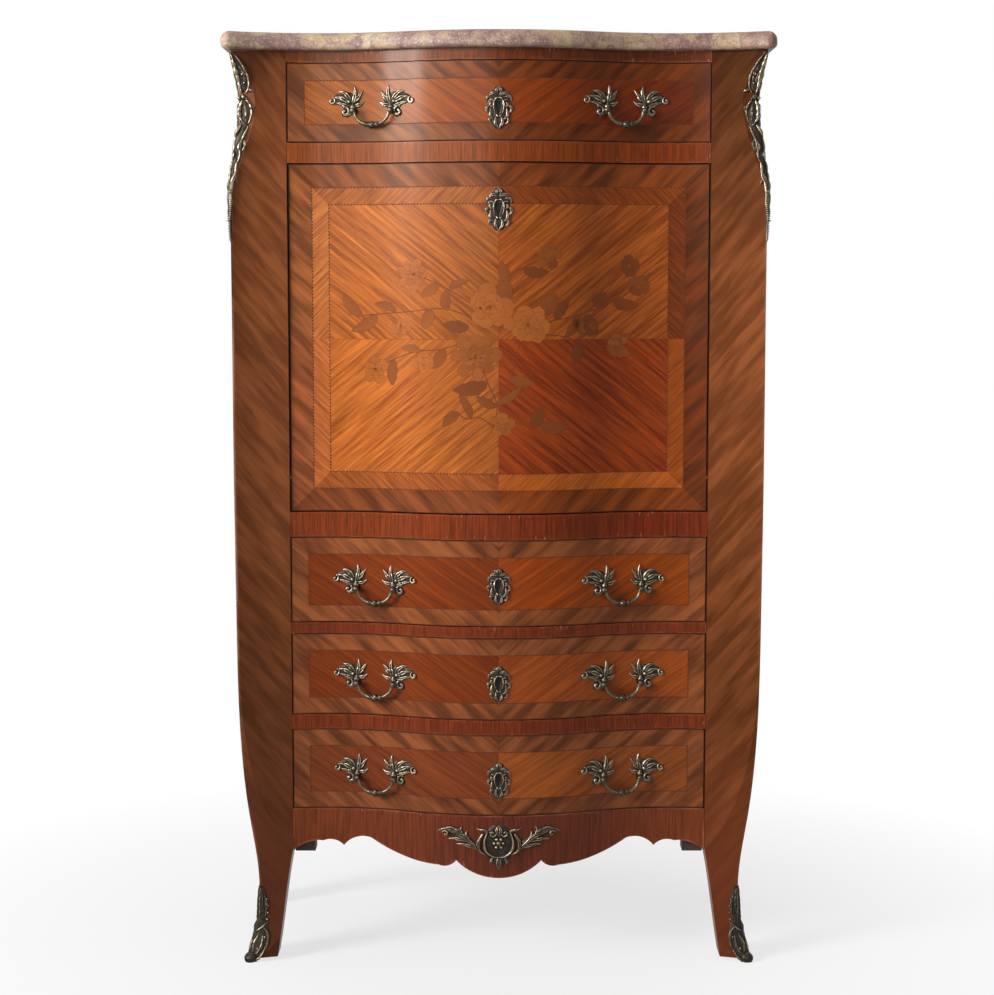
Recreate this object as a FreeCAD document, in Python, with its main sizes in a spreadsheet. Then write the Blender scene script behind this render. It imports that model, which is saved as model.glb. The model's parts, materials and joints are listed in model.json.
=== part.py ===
import FreeCAD, Part
import math
import os
import re
import Sketcher
from FreeCAD import Vector

# Drop-front writing cabinet with a serpentine front, marble top, four drawers and bronze mounts.
# Millimetres, +Z up, the front faces -Y, origin on the floor under the middle of the overall box.

# Driving sizes
SIZES = {
    # Bands of the front, from the floor up
    "leg_height": 231.0, "drawer_4_height": 120.5, "lower_rail_height": 21.5, "drawer_3_height": 122.0,
    "middle_rail_height": 16.0, "drawer_2_height": 127.5, "desk_rail_height": 36.5, "fall_height": 507.0,
    "upper_rail_height": 29.0, "drawer_1_height": 114.0, "frieze_height": 16.5, "slab_thickness": 25.0,
    # Plan of the carcass: the front bows at the middle and dips towards the posts
    "opening_half": 306.0, "stile_width": 79.5, "carcass_depth": 330.0, "bow": 48.0, "dip_margin": 51.0,
    "crest_share": 0.53,
    # Marble slab
    "slab_overhang": 14.0, "slab_side_overhang": 11.0, "slab_back_overhang": 6.0, "slab_top_round": 13.0,
    "slab_under_round": 7.0, "slab_corner_round": 12.0,
    # Posts and legs
    "post_depth": 58.0, "rear_post_depth": 45.0, "ankle_draw": 27.0, "neck_draw": 13.0, "neck_drop": 79.0,
    "foot_inset": 26.0, "rear_foot_inset": 46.0, "foot_narrowing": 24.0,
    # Carcass boards
    "panel_thickness": 20.0, "side_arch_height": 182.0, "side_foot_height": 158.0, "back_thickness": 12.0,
    "back_foot_height": 190.0, "board_thickness": 12.0, "rail_depth": 40.0, "desk_rail_depth": 76.0,
    "apron_thickness": 24.0, "apron_drop": 93.5, "joint_gap": 0.2, "glue_block_width": 30.0,
    "glue_block_depth": 32.0, "glue_block_drop": 72.0,
    # Drawers and what they run on
    "drawer_gap": 1.2, "front_thickness": 20.0, "lap_depth": 10.0, "side_thickness": 10.0,
    "side_drop": 8.0, "drawer_back_gap": 18.0, "bottom_thickness": 6.0, "bottom_rise": 8.0,
    "runner_clearance": 0.3, "runner_width": 20.0, "runner_thickness": 12.0, "guide_width": 24.0,
    "guide_height": 30.0,
    # Drawer and fall locks
    "lock_half": 30.0, "lock_height": 80.0, "lock_cover": 12.0, "lock_depth": 14.0, "bolt_half": 11.0,
    "bolt_depth": 5.0, "bolt_length": 20.0, "bolt_travel": 8.0, "bolt_clearance": 0.4, "keyhole_radius": 3.0,
    "keyhole_drop": 11.0, "keyhole_slot": 3.0, "keyhole_level": 64.0,
    # Fall front
    "fall_gap": 1.5, "fall_recess": 3.0, "fall_inner": 34.0, "pivot_inset": 4.5, "pivot_rise": 50.5,
    "pivot_radius": 3.0, "pivot_clearance": 0.05, "pivot_length": 10.0, "strap_thickness": 3.0,
    "strap_width": 20.0, "strap_height": 70.0, "plate_height": 26.0, "stop_gap": 0.5, "leather_margin": 46.0,
    "leather_thickness": 1.5, "leather_clearance": 0.1,
    # Writing compartment
    "lining_thickness": 10.0, "ceiling_drop": 3.5, "case_setback": 150.0, "case_board": 8.0,
    "small_drawer_height": 78.0, "shelf_height": 150.0, "divider_reach": 98.0, "small_gap": 0.8,
    "small_wall": 6.0, "knob_radius": 6.0, "knob_length": 14.0, "knob_neck": 2.5,
    # Bronze mounts
    "mount_thickness": 3.5, "handle_margin": 126.0, "handle_spread": 56.0, "handle_drop": 12.0,
    "handle_stand": 11.0, "leaf_width": 62.0, "leaf_height": 52.0, "post_radius": 3.0, "knuckle_radius": 4.2,
    "bail_radius": 2.0, "bail_clearance": 0.05, "bail_drop": 19.0, "bail_bend": 3.2, "bail_sweep": 14.0,
    "knop_radius": 4.2, "escutcheon_width": 36.0, "escutcheon_height": 64.0,
    "fall_escutcheon_share": 1.12,
    "corner_mount_length": 270.0, "corner_mount_drop": 5.0, "corner_mount_half": 11.0, "sabot_height": 110.0,
    "sabot_sole": 6.0, "sabot_half": 17.0, "apron_mount_width": 182.0, "apron_mount_height": 68.0,
    "apron_mount_drop": 15.0, "apron_mount_thickness": 6.0,
}

doc = FreeCAD.newDocument("writing_cabinet")
sheet = doc.addObject("Spreadsheet::Sheet", "sizes")
for row, (alias, amount) in enumerate(SIZES.items(), 1):
    sheet.set(f"A{row}", alias)
    sheet.set(f"B{row}", str(amount))
    sheet.setAlias(f"B{row}", alias)
doc.recompute()


# Sizes inside expressions
def linked(text):
    """Point every size named in an expression at its cell."""
    return re.sub(r"[a-z][a-z_0-9]*", lambda m: "sizes." + m[0] if m[0] in SIZES else m[0], text)


def value(text):
    """Present value of an expression in millimetres."""
    return float(sheet.evalExpression(linked(text)))


def bind(obj, prop, text):
    obj.setExpression(prop, linked(text))


# Bands of the front: bottom and top level of each, as expressions
BANDS = ("leg", "drawer_4", "lower_rail", "drawer_3", "middle_rail", "drawer_2", "desk_rail", "fall",
         "upper_rail", "drawer_1", "frieze", "slab")
BOTTOM, TOP = {}, {}
level = "0"
for band in BANDS:
    BOTTOM[band] = f"({level})"
    level += f" + {band}_thickness" if band == "slab" else f" + {band}_height"
    TOP[band] = f"({level})"

CENTRE_SHIFT = "(bow + slab_overhang - carcass_depth - slab_back_overhang) / 2"
OVERRUN = "carcass_depth"

# Serpentine plan curve: one crest arc between two dip arcs that run on into the posts
HALF_WIDTH = "(opening_half + stile_width)"
DIP_REACH = "(opening_half - dip_margin)"
TURN = f"(2 * atan(bow / {DIP_REACH}))"
ARC_SUM = f"({DIP_REACH} / sin{TURN})"
CREST_RADIUS = f"(crest_share * {ARC_SUM})"
DIP_RADIUS = f"((1 - crest_share) * {ARC_SUM})"


def dip_y(x, offset):
    """Depth of the curve, set back by offset, at a place x on the dip arc."""
    return f"(sqrt(({DIP_RADIUS} + {offset})^2 - ({x} - {DIP_REACH})^2) - {DIP_RADIUS})"


def front_depth(x, offset=0.0):
    """Depth of the front at any place x, as a number."""
    crest = value(CREST_RADIUS) - offset
    dip = value(DIP_RADIUS) + offset
    if abs(x) < crest * math.sin(math.radians(value(TURN))):
        return value(f"{CREST_RADIUS} - bow") - math.sqrt(crest ** 2 - x ** 2)
    return math.sqrt(dip ** 2 - (abs(x) - value(DIP_REACH)) ** 2) - value(DIP_RADIUS)


def curve_run(half, offset, forward):
    """Corners along the curve, left to right when forward, each with the arc that leaves it."""
    side = "-" if forward else ""
    other = "" if forward else "-"
    turn = -1 if forward else 1
    crest = f"({CREST_RADIUS} - ({offset}))"
    dip = f"({DIP_RADIUS} + {offset})"
    meet_x = f"({crest} * sin{TURN})"
    meet_y = f"({CREST_RADIUS} - bow - {crest} * cos{TURN})"
    return [(f"{side}({half})", dip_y(half, offset), (dip, turn)),
            (f"{side}{meet_x}", meet_y, (crest, -turn)),
            (f"{other}{meet_x}", meet_y, (dip, turn))]


# Document objects
def new_sketch(body, role, name):
    sketch = body.newObject("Sketcher::SketchObject", name)
    plane = next(item for item in body.Origin.OriginFeatures if item.Role == role)
    sketch.AttachmentSupport = (plane, [""])
    sketch.MapMode = "FlatFace"
    return sketch


def outline(sketch, corners):
    """Closed outline: corners as x, y and the side that leaves them, None or an arc (radius, turn)."""
    places = [Vector(value(x), value(y), 0) for x, y, side in corners]
    ends = []
    for index, (x, y, side) in enumerate(corners):
        start = places[index]
        stop = places[(index + 1) % len(corners)]
        if side is None:
            geometry = sketch.addGeometry(Part.LineSegment(start, stop))
        else:
            radius = value(side[0])
            chord = stop - start
            sag = radius - math.sqrt(radius ** 2 - (chord.Length / 2) ** 2)
            normal = Vector(chord.y, -chord.x, 0).normalize() * (side[1] * sag)
            geometry = sketch.addGeometry(Part.Arc(start, (start + stop) / 2 + normal, stop))
        first = sketch.getPoint(geometry, 1)
        ends.append((1, 2) if first.distanceToPoint(start) < first.distanceToPoint(stop) else (2, 1))
    for index, (x, y, side) in enumerate(corners):
        follower = (index + 1) % len(corners)
        stop_end, start_end = ends[index][1], ends[follower][0]
        sketch.addConstraint(Sketcher.Constraint("Coincident", index, stop_end, follower, start_end))
    for index, (x, y, side) in enumerate(corners):
        for kind, text, amount in (("DistanceX", x, places[index].x), ("DistanceY", y, places[index].y)):
            number = sketch.addConstraint(Sketcher.Constraint(kind, -1, 1, index, ends[index][0], amount))
            bind(sketch, f"Constraints[{number}]", text)
        if side is not None:
            number = sketch.addConstraint(Sketcher.Constraint("Radius", index, value(side[0])))
            bind(sketch, f"Constraints[{number}]", side[0])


def padded_body(label, corners, bottom, height):
    """Body padded upwards from a plan outline."""
    body = doc.addObject("PartDesign::Body", label)
    body.Label = label
    sketch = new_sketch(body, "XY_Plane", label + "_plan")
    bind(sketch, "AttachmentOffset.Base.z", bottom)
    outline(sketch, corners)
    pad = body.newObject("PartDesign::Pad", label + "_pad")
    pad.Profile = sketch
    bind(pad, "Length", height)
    doc.recompute()
    return body


def flat_backed(half, offset, back):
    """Plan with a serpentine front and a flat back."""
    return curve_run(half, offset, True) + [(half, dip_y(half, offset), None), (half, back, None),
                                            (f"-({half})", back, None)]


def bent(half, offset, back_offset):
    """Plan with a serpentine front and a parallel back."""
    return (curve_run(half, offset, True) + [(half, dip_y(half, offset), None)]
            + curve_run(half, back_offset, False) + [(f"-({half})", dip_y(half, back_offset), None)])


def block(name, low, high):
    """Rectangular board between two corners given as expressions."""
    piece = doc.addObject("Part::Box", name)
    for prop, axis, near, far in zip(("Length", "Width", "Height"), "xyz", low, high):
        bind(piece, prop, f"({far}) - ({near})")
        bind(piece, f"Placement.Base.{axis}", near)
    return piece


def rod(name, radius, length, base, direction):
    """Round bar from a base point, given as expressions, along a direction."""
    piece = doc.addObject("Part::Cylinder", name)
    bind(piece, "Radius", radius)
    bind(piece, "Height", length)
    piece.Placement.Rotation = FreeCAD.Rotation(Vector(0, 0, 1), direction)
    for axis, text in zip("xyz", base):
        bind(piece, f"Placement.Base.{axis}", text)
    return piece


def cut(name, base, tools):
    piece = doc.addObject("Part::Cut", name)
    piece.Base = base
    piece.Tool = tools[0] if len(tools) == 1 else group(name + "_tools", tools)
    return piece


def fuse(name, shapes):
    piece = doc.addObject("Part::MultiFuse", name)
    piece.Shapes = shapes
    return piece


def group(name, links):
    piece = doc.addObject("Part::Compound", name)
    piece.Links = links
    return piece


def feature(name, shape):
    piece = doc.addObject("Part::Feature", name)
    piece.Shape = shape
    return piece


NODES = {}


def node(label, piece):
    """Enter a finished sub-part; its label names its file."""
    piece.Label = label
    NODES[label] = piece


def mirrored(shape):
    return shape.mirror(Vector(0, 0, 0), Vector(1, 0, 0))


def signed(side, text):
    return text if side > 0 else f"-({text})"


def span(side, near, far):
    """Low and high x of a piece on the right, or of its twin on the left."""
    return (near, far) if side > 0 else (f"-({far})", f"-({near})")


SIDES = (("left", -1), ("right", 1))


# Marble slab: serpentine front, rounded corners, thumbnail edge on the front and sides
SLAB_HALF = f"{HALF_WIDTH} + slab_side_overhang"
slab_plan = flat_backed(SLAB_HALF, "(-slab_overhang)", "carcass_depth + slab_back_overhang")
slab = padded_body("marble_top", slab_plan, BOTTOM["slab"], "slab_thickness")


def fillet(body, radius, chosen):
    """Round the edges of a body that a test picks out."""
    base = body.Tip
    names = [f"Edge{number}" for number, edge in enumerate(base.Shape.Edges, 1) if chosen(edge)]
    rounding = body.newObject("PartDesign::Fillet", body.Label + "_round")
    rounding.Base = (base, names)
    bind(rounding, "Radius", radius)
    body.Tip = rounding
    doc.recompute()


SLAB_BACK = value("carcass_depth + slab_back_overhang")
FLUSH = value("joint_gap")


def upright_corner(edge):
    box = edge.BoundBox
    outermost = abs(box.Center.x) > value(SLAB_HALF) - FLUSH
    return box.ZLength > FLUSH and outermost and box.YMax < SLAB_BACK - FLUSH


def rim_at(height):
    """Test for the slab's front and side edges at one level."""
    def on_rim(edge):
        box = edge.BoundBox
        return box.ZLength < FLUSH and abs(box.ZMax - height) < FLUSH and box.YMin < SLAB_BACK - FLUSH
    return on_rim


fillet(slab, "slab_corner_round", upright_corner)
fillet(slab, "slab_top_round", rim_at(value(TOP["slab"])))
fillet(slab, "slab_under_round", rim_at(value(BOTTOM["slab"])))
node("marble_top", slab)

# Posts: each is sawn from a square blank by three outlines, in plan, from the front and from the side
CARCASS_TOP = value(TOP["frieze"])
LEG = value("leg_height")
LEG_SHARES = ((0.0, 0.33), (0.17, 0.74), (0.54, 1.0), (0.93, 0.60), (1.49, 0.17), (2.29, 0.04), (3.1, 0.0))
NECK_SHARES = ((3.6, 0.0), (2.5, 0.15), (1.0, 1.0), (0.0, 0.08))
INNER_SHARES = ((0.75, 0.0), (0.54, 0.34), (0.27, 0.66), (0.0, 1.0))
REAR_LEG_SHARES = ((0.0, 0.0), (0.21, 0.28), (0.54, 0.92)) + LEG_SHARES[3:]
REAR_INNER_SHARES = ((0.75, 0.0), (0.54, 0.50), (0.36, 0.76), (0.20, 0.92), (0.0, 1.0))


def post_draw(leg_shares=LEG_SHARES):
    """Heights up a post and how far its outer edge is drawn in there."""
    ankle, neck, drop = value("ankle_draw"), value("neck_draw"), value("neck_drop")
    lower = [(LEG * rise, ankle * share) for rise, share in leg_shares]
    upper = [(CARCASS_TOP - drop * fall, neck * share) for fall, share in NECK_SHARES]
    return lower + upper


def spline(points):
    curve = Part.BSplineCurve()
    curve.interpolate(points)
    return curve.toShape()


def lines(points):
    return [Part.makeLine(start, stop) for start, stop in zip(points, points[1:])]


def post_face(outer, inner, head):
    """Face of a post between its outer and inner outlines; head is the top of the inner face."""
    edges = [spline(outer), spline(inner)] + lines([outer[-1], head, inner[0]]) + lines([inner[-1], outer[0]])
    return Part.Face(Part.Wire(Part.__sortEdges__(edges)))


def front_blank(growth, inset, shares, leg_shares=LEG_SHARES):
    """Front view of a post and leg, as a prism through the whole depth."""
    back = -value(OVERRUN)
    outer_face = value(HALF_WIDTH) + growth
    outer = [Vector(outer_face - drawn, back, height) for height, drawn in post_draw(leg_shares)]
    inner_face = value("opening_half") - growth
    inner = [Vector(inner_face + value(inset) * share, back, LEG * rise) for rise, share in shares]
    face = post_face(outer, inner, Vector(inner_face, back, CARCASS_TOP))
    return face.extrude(Vector(0, 3 * value(OVERRUN), 0))


def side_blank(growth):
    """Side view of a front post and leg, as a prism through the whole width."""
    arris = value(dip_y(HALF_WIDTH, "0"))
    outer = [Vector(0, arris + drawn - growth, height) for height, drawn in post_draw()]
    back_face = value("post_depth") + growth
    narrowing = value("foot_narrowing")
    inner = [Vector(0, back_face - narrowing * share, LEG * rise) for rise, share in INNER_SHARES]
    face = post_face(outer, inner, Vector(0, back_face, CARCASS_TOP))
    return face.extrude(Vector(2 * value(HALF_WIDTH), 0, 0))


def plan_blank(growth):
    """Plan of a post: the dip arc of the front runs on and flares forward to the arris."""
    inner = value("opening_half") - growth
    outer = value(HALF_WIDTH) + growth
    back = value("post_depth") + growth
    start = Vector(inner, front_depth(inner, -growth), 0)
    middle = Vector((inner + outer) / 2, front_depth((inner + outer) / 2, -growth), 0)
    stop = Vector(outer, front_depth(outer, -growth), 0)
    sides = lines([stop, Vector(outer, back, 0), Vector(inner, back, 0), start])
    face = Part.Face(Part.Wire([Part.Arc(start, middle, stop).toShape()] + sides))
    return face.extrude(Vector(0, 0, CARCASS_TOP))


def front_post(growth):
    front = front_blank(growth, "foot_inset", INNER_SHARES)
    return plan_blank(growth).common(front).common(side_blank(growth))


def slab_between(bottom, top):
    """Everything between two levels."""
    reach = 2 * value(HALF_WIDTH)
    return Part.makeBox(2 * reach, 2 * reach, top - bottom, Vector(-reach, -reach, bottom))


SOLE = value("sabot_sole")
PIVOT_Z = f"({BOTTOM['fall']} + pivot_rise)"
BORE = "pivot_radius + pivot_clearance"
right_post = front_post(0.0).common(slab_between(SOLE, CARCASS_TOP))
for name, side in SIDES:
    timber = feature(f"post_timber_{name}", right_post if side > 0 else mirrored(right_post))
    low, high = span(side, "opening_half", "opening_half + strap_thickness")
    seat = block(f"plate_seat_{name}", (low, "0", f"{PIVOT_Z} - plate_height / 2"),
                 (high, "2 * pivot_inset + pivot_radius", f"{PIVOT_Z} + plate_height / 2"))
    bore = rod(f"pivot_bore_{name}", BORE, "pivot_length + strap_thickness",
               (signed(side, "opening_half"), "pivot_inset", PIVOT_Z), Vector(side, 0, 0))
    node(f"front_post_{name}", cut(f"front_post_{name}", timber, [seat, bore]))

rear_box = Part.makeBox(2 * value(HALF_WIDTH), value("rear_post_depth"), CARCASS_TOP,
                        Vector(0, value("carcass_depth - rear_post_depth"), 0))
rear_front = front_blank(0.0, "rear_foot_inset", REAR_INNER_SHARES, REAR_LEG_SHARES)
right_rear_post = rear_front.common(rear_box)
node("rear_posts", feature("rear_posts", Part.makeCompound([mirrored(right_rear_post), right_rear_post])))


# Side panels: veneered boards that keep the outline of the posts, with an arched lower edge
def side_panel():
    near = value("post_depth")
    far = value("carcass_depth - rear_post_depth")
    outer = [Vector(value(HALF_WIDTH) - drawn, near, height) for height, drawn in post_draw()]
    inner = [point - Vector(value("panel_thickness"), 0, 0) for point in outer]
    ends = lines([outer[0], inner[0]]) + lines([outer[-1], inner[-1]])
    face = Part.Face(Part.Wire(Part.__sortEdges__([spline(outer), spline(inner)] + ends)))
    board = face.extrude(Vector(0, far - near, 0))
    foot = value("side_foot_height")
    low = Vector(0, near, foot)
    crown = Vector(0, (near + far) / 2, value("side_arch_height"))
    end = Vector(0, far, foot)
    corners = [end, Vector(0, far, -foot), Vector(0, near, -foot), low]
    arch = Part.Face(Part.Wire([Part.Arc(low, crown, end).toShape()] + lines(corners)))
    return board.cut(arch.extrude(Vector(2 * value(HALF_WIDTH), 0, 0)))


right_panel = side_panel()
node("side_panel_left", feature("side_panel_left", mirrored(right_panel)))
node("side_panel_right", feature("side_panel_right", right_panel))

# Back, top and bottom boards, and the glue blocks that tie the bottom board to the apron and the legs
BACK_FACE = "carcass_depth - back_thickness"
back = block("back_board", ("-opening_half", BACK_FACE, "back_foot_height"),
             ("opening_half", "carcass_depth", TOP["frieze"]))
node("back_panel", group("back_panel", [back]))
lid = block("top_plank", ("-opening_half", "rail_depth", f"{TOP['frieze']} - board_thickness"),
            ("opening_half", BACK_FACE, TOP["frieze"]))
node("top_board", group("top_board", [lid]))
RUNNER_LIFT = "drawer_gap - runner_clearance"
BASE_TOP = f"(leg_height + {RUNNER_LIFT} - runner_thickness)"
base = padded_body("bottom_plank", flat_backed("opening_half", "(apron_thickness + joint_gap)", BACK_FACE),
                   f"{BASE_TOP} - board_thickness", "board_thickness")
glue_blocks = []
for name, side in SIDES:
    low, high = span(side, "opening_half - glue_block_width", "opening_half - joint_gap")
    glue_blocks.append(block(f"glue_block_{name}",
                             (low, "apron_thickness + joint_gap", "leg_height - glue_block_drop"),
                             (high, "apron_thickness + glue_block_depth",
                              f"{BASE_TOP} - board_thickness - joint_gap")))
node("bottom_board", group("bottom_board", [base] + glue_blocks))

# Rails between the drawers: serpentine fronts, flat backs, each with the mortise that its bolt enters
BOLT_LOW = "(lock_cover - bow + (lock_depth - bolt_depth) / 2)"
FALL_BOLT_LOW = "(fall_inner - lock_depth + (lock_depth - bolt_depth) / 2)"


def mortise(name, band, bolt_low):
    return block(name, ("-(bolt_half + bolt_clearance)", f"{bolt_low} - bolt_clearance", BOTTOM[band]),
                 ("bolt_half + bolt_clearance", f"{bolt_low} + bolt_depth + bolt_clearance",
                  f"{BOTTOM[band]} + bolt_travel + bolt_clearance"))


def rail(name, band, back, bolt_low, more):
    plan = flat_backed("opening_half", "0", back)
    blank = padded_body(name + "_blank", plan, BOTTOM[band], f"{band}_height")
    return cut(name, blank, [mortise(name + "_mortise", band, bolt_low)] + more)


COVE_STEPS = 24
COVE_ROOM_SHARE = 0.9


def cove():
    """Round hollow that the bowed lower edge of the fall sweeps as it swings about its pivots."""
    lip = value("pivot_rise - fall_gap")
    room = value("fall_gap") * COVE_ROOM_SHARE
    reach = value("opening_half")
    axis = Vector(0, value("pivot_inset"), value(PIVOT_Z))
    places = [reach * (2 * step / COVE_STEPS - 1) for step in range(COVE_STEPS + 1)]
    rim = []
    for x in places:
        ahead = value("pivot_inset") - front_depth(x, value("fall_recess"))
        rim.append(axis + Vector(x, 0, -math.hypot(lip, ahead) - room))
    ends = [rim[-1], axis + Vector(reach, 0, 0), axis - Vector(reach, 0, 0), rim[0]]
    face = Part.Face(Part.Wire([spline(rim)] + lines(ends)))
    return face.revolve(axis, Vector(1, 0, 0), 360)


node("frieze_rail", rail("frieze_rail", "frieze", "rail_depth", BOLT_LOW, []))
node("upper_rail", rail("upper_rail", "upper_rail", "rail_depth", FALL_BOLT_LOW, []))
hollow = feature("desk_cove", cove())
node("desk_rail", rail("desk_rail", "desk_rail", "desk_rail_depth", BOLT_LOW, [hollow]))
node("drawer_rails", group("drawer_rails", [rail("middle_rail", "middle_rail", "rail_depth", BOLT_LOW, []),
                                            rail("lower_rail", "lower_rail", "rail_depth", BOLT_LOW, [])]))

# Apron: bent board with a scalloped lower edge; each corner is a share of the half opening and of the drop
APRON_SHARES = ((1.0, 0.685), (0.855, 0.53), (0.755, 0.605), (0.62, 0.465), (0.29, 0.815), (0.205, 0.73),
                (0.0, 1.0))
APRON_BULGE_SHARES = (0.12, 0.16, 0.16, -0.07, -0.16, -0.10)


def apron_cutter():
    """Prism below the scalloped edge."""
    half = value("opening_half")
    near = value("-bow - apron_thickness")
    right = [Vector(half * across, near, LEG - value("apron_drop") * down) for across, down in APRON_SHARES]
    edges = []
    for start, stop, bulge in zip(right, right[1:], APRON_BULGE_SHARES):
        chord = stop - start
        normal = Vector(-chord.z, 0, chord.x) * -bulge
        arc = Part.Arc(start, (start + stop) / 2 + normal, stop).toShape()
        edges += [arc, mirrored(arc)]
    low = -LEG
    corners = [Vector(half, near, low), Vector(-half, near, low)]
    edges += lines([right[0]] + corners + [Vector(-half, near, right[0].z)])
    face = Part.Face(Part.Wire(Part.__sortEdges__(edges)))
    return face.extrude(Vector(0, value("carcass_depth"), 0))


apron_plan = bent("opening_half", "0", "apron_thickness")
apron_blank = padded_body("apron_blank", apron_plan, "leg_height - apron_drop", "apron_drop")
node("apron", cut("apron", apron_blank, [feature("apron_scallops", apron_cutter())]))

# Runners, guides and dust boards between the posts
DRAWERS = (1, 2, 3, 4)
runners = []
dust_boards = []
for number in DRAWERS:
    top = f"({BOTTOM[f'drawer_{number}']} + {RUNNER_LIFT})"
    for name, side in SIDES:
        low, high = span(side, "opening_half - runner_width", "opening_half")
        runners.append(block(f"runner_{number}_{name}", (low, "rail_depth", f"{top} - runner_thickness"),
                             (high, BACK_FACE, top)))
        low, high = span(side, "opening_half", "opening_half + guide_width")
        runners.append(block(f"guide_{number}_{name}", (low, "post_depth", f"{top} - runner_thickness"),
                             (high, "carcass_depth - rear_post_depth", f"{top} + guide_height")))
    if number != DRAWERS[-1]:
        dust_boards.append(block(f"dust_board_{number}",
                                 ("runner_width - opening_half", "rail_depth", f"{top} - runner_thickness"),
                                 ("opening_half - runner_width", BACK_FACE,
                                  f"{top} - runner_thickness + bottom_thickness")))
node("drawer_runners", group("drawer_runners", runners))
node("dust_boards", group("dust_boards", dust_boards))

# Writing compartment: floor that stops the open fall, ceiling, linings and a riser behind the swinging lip
FLOOR_LOW = f"({PIVOT_Z} + fall_inner - pivot_inset + stop_gap)"
FLOOR_TOP = f"({FLOOR_LOW} + board_thickness)"
CEILING_TOP = f"({TOP['fall']} - ceiling_drop)"
CEILING_LOW = f"({CEILING_TOP} - board_thickness)"
STOP_FACE = "fall_inner + stop_gap"
boards = [block("compartment_floor", ("-opening_half", STOP_FACE, FLOOR_LOW),
                ("opening_half", BACK_FACE, FLOOR_TOP)),
          block("compartment_ceiling", ("-opening_half", STOP_FACE, CEILING_LOW),
                ("opening_half", BACK_FACE, CEILING_TOP)),
          block("floor_riser", ("-opening_half", "desk_rail_depth - board_thickness", TOP["desk_rail"]),
                ("opening_half", "desk_rail_depth", FLOOR_LOW))]
for name, side in SIDES:
    low, high = span(side, "opening_half - lining_thickness", "opening_half")
    boards.append(block(f"lining_{name}", (low, STOP_FACE, FLOOR_TOP), (high, BACK_FACE, CEILING_LOW)))
node("compartment_boards", group("compartment_boards", boards))

# Pigeonhole case: two small drawers under two shelves with uprights
CASE_HALF = "(opening_half - lining_thickness)"
SHELF_1 = f"({FLOOR_TOP} + small_drawer_height)"
SHELF_2 = f"({SHELF_1} + case_board + shelf_height)"
case = []
for name, low in (("lower", SHELF_1), ("upper", SHELF_2)):
    case.append(block(f"shelf_{name}", (f"-{CASE_HALF}", "case_setback", low),
                      (CASE_HALF, BACK_FACE, f"{low} + case_board")))
case.append(block("drawer_partition", ("-case_board / 2", "case_setback", FLOOR_TOP),
                  ("case_board / 2", BACK_FACE, SHELF_1)))
for name, place in (("left", "-divider_reach"), ("right", "divider_reach")):
    case.append(block(f"upright_{name}",
                      (f"{place} - case_board / 2", "case_setback", f"{SHELF_1} + case_board"),
                      (f"{place} + case_board / 2", BACK_FACE, SHELF_2)))
node("pigeonhole_case", group("pigeonhole_case", case))


def small_drawer(name, side):
    """Front with a turned knob, two sides, back and bottom."""
    inner = "(case_board / 2 + small_gap)"
    outer = f"({CASE_HALF} - small_gap)"
    bottom = f"({FLOOR_TOP} + runner_clearance)"
    top = f"({SHELF_1} - small_gap)"
    back = f"({BACK_FACE} - small_gap)"
    front_back = "(case_setback + 2 * small_wall)"
    low, high = span(side, inner, outer)
    floor = f"({bottom} + small_wall)"
    boards = [block(f"small_front_{name}", (low, "case_setback", bottom), (high, front_back, top)),
              block(f"small_bottom_{name}", (low, front_back, bottom), (high, back, floor))]
    walls = (("inner", inner, f"({inner} + small_wall)"), ("outer", f"({outer} - small_wall)", outer))
    for place, near, far in walls:
        low, high = span(side, near, far)
        boards.append(block(f"small_side_{place}_{name}", (low, front_back, floor), (high, back, top)))
    low, high = span(side, walls[0][2], walls[1][1])
    boards.append(block(f"small_back_{name}", (low, f"{back} - small_wall", floor), (high, back, top)))
    middle = (signed(side, f"({inner} + {outer}) / 2"), "case_setback", f"({bottom} + {top}) / 2")
    neck = rod(f"knob_neck_{name}", "knob_neck", "knob_length - knob_radius", middle, Vector(0, -1, 0))
    ball = doc.addObject("Part::Sphere", f"knob_ball_{name}")
    bind(ball, "Radius", "knob_radius")
    for axis, text in zip("xyz", (middle[0], "case_setback - knob_length + knob_radius", middle[2])):
        bind(ball, f"Placement.Base.{axis}", text)
    boards.append(fuse(f"knob_{name}", [neck, ball]))
    node(f"small_drawer_{name}", group(f"small_drawer_{name}", boards))


for name, side in SIDES:
    small_drawer(name, side)


# Locks: a case let into the wood behind the keyhole, with a bolt that slides up into the rail
def keyhole(name, near, far, centre):
    """Round hole and slot through the wood and the escutcheon."""
    eye = rod(name + "_eye", "keyhole_radius", f"({far}) - ({near})", ("0", near, centre), Vector(0, 1, 0))
    slot = block(name + "_slot", ("-keyhole_slot / 2", near, f"{centre} - keyhole_drop"),
                 ("keyhole_slot / 2", far, centre))
    return fuse(name, [eye, slot])


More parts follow.
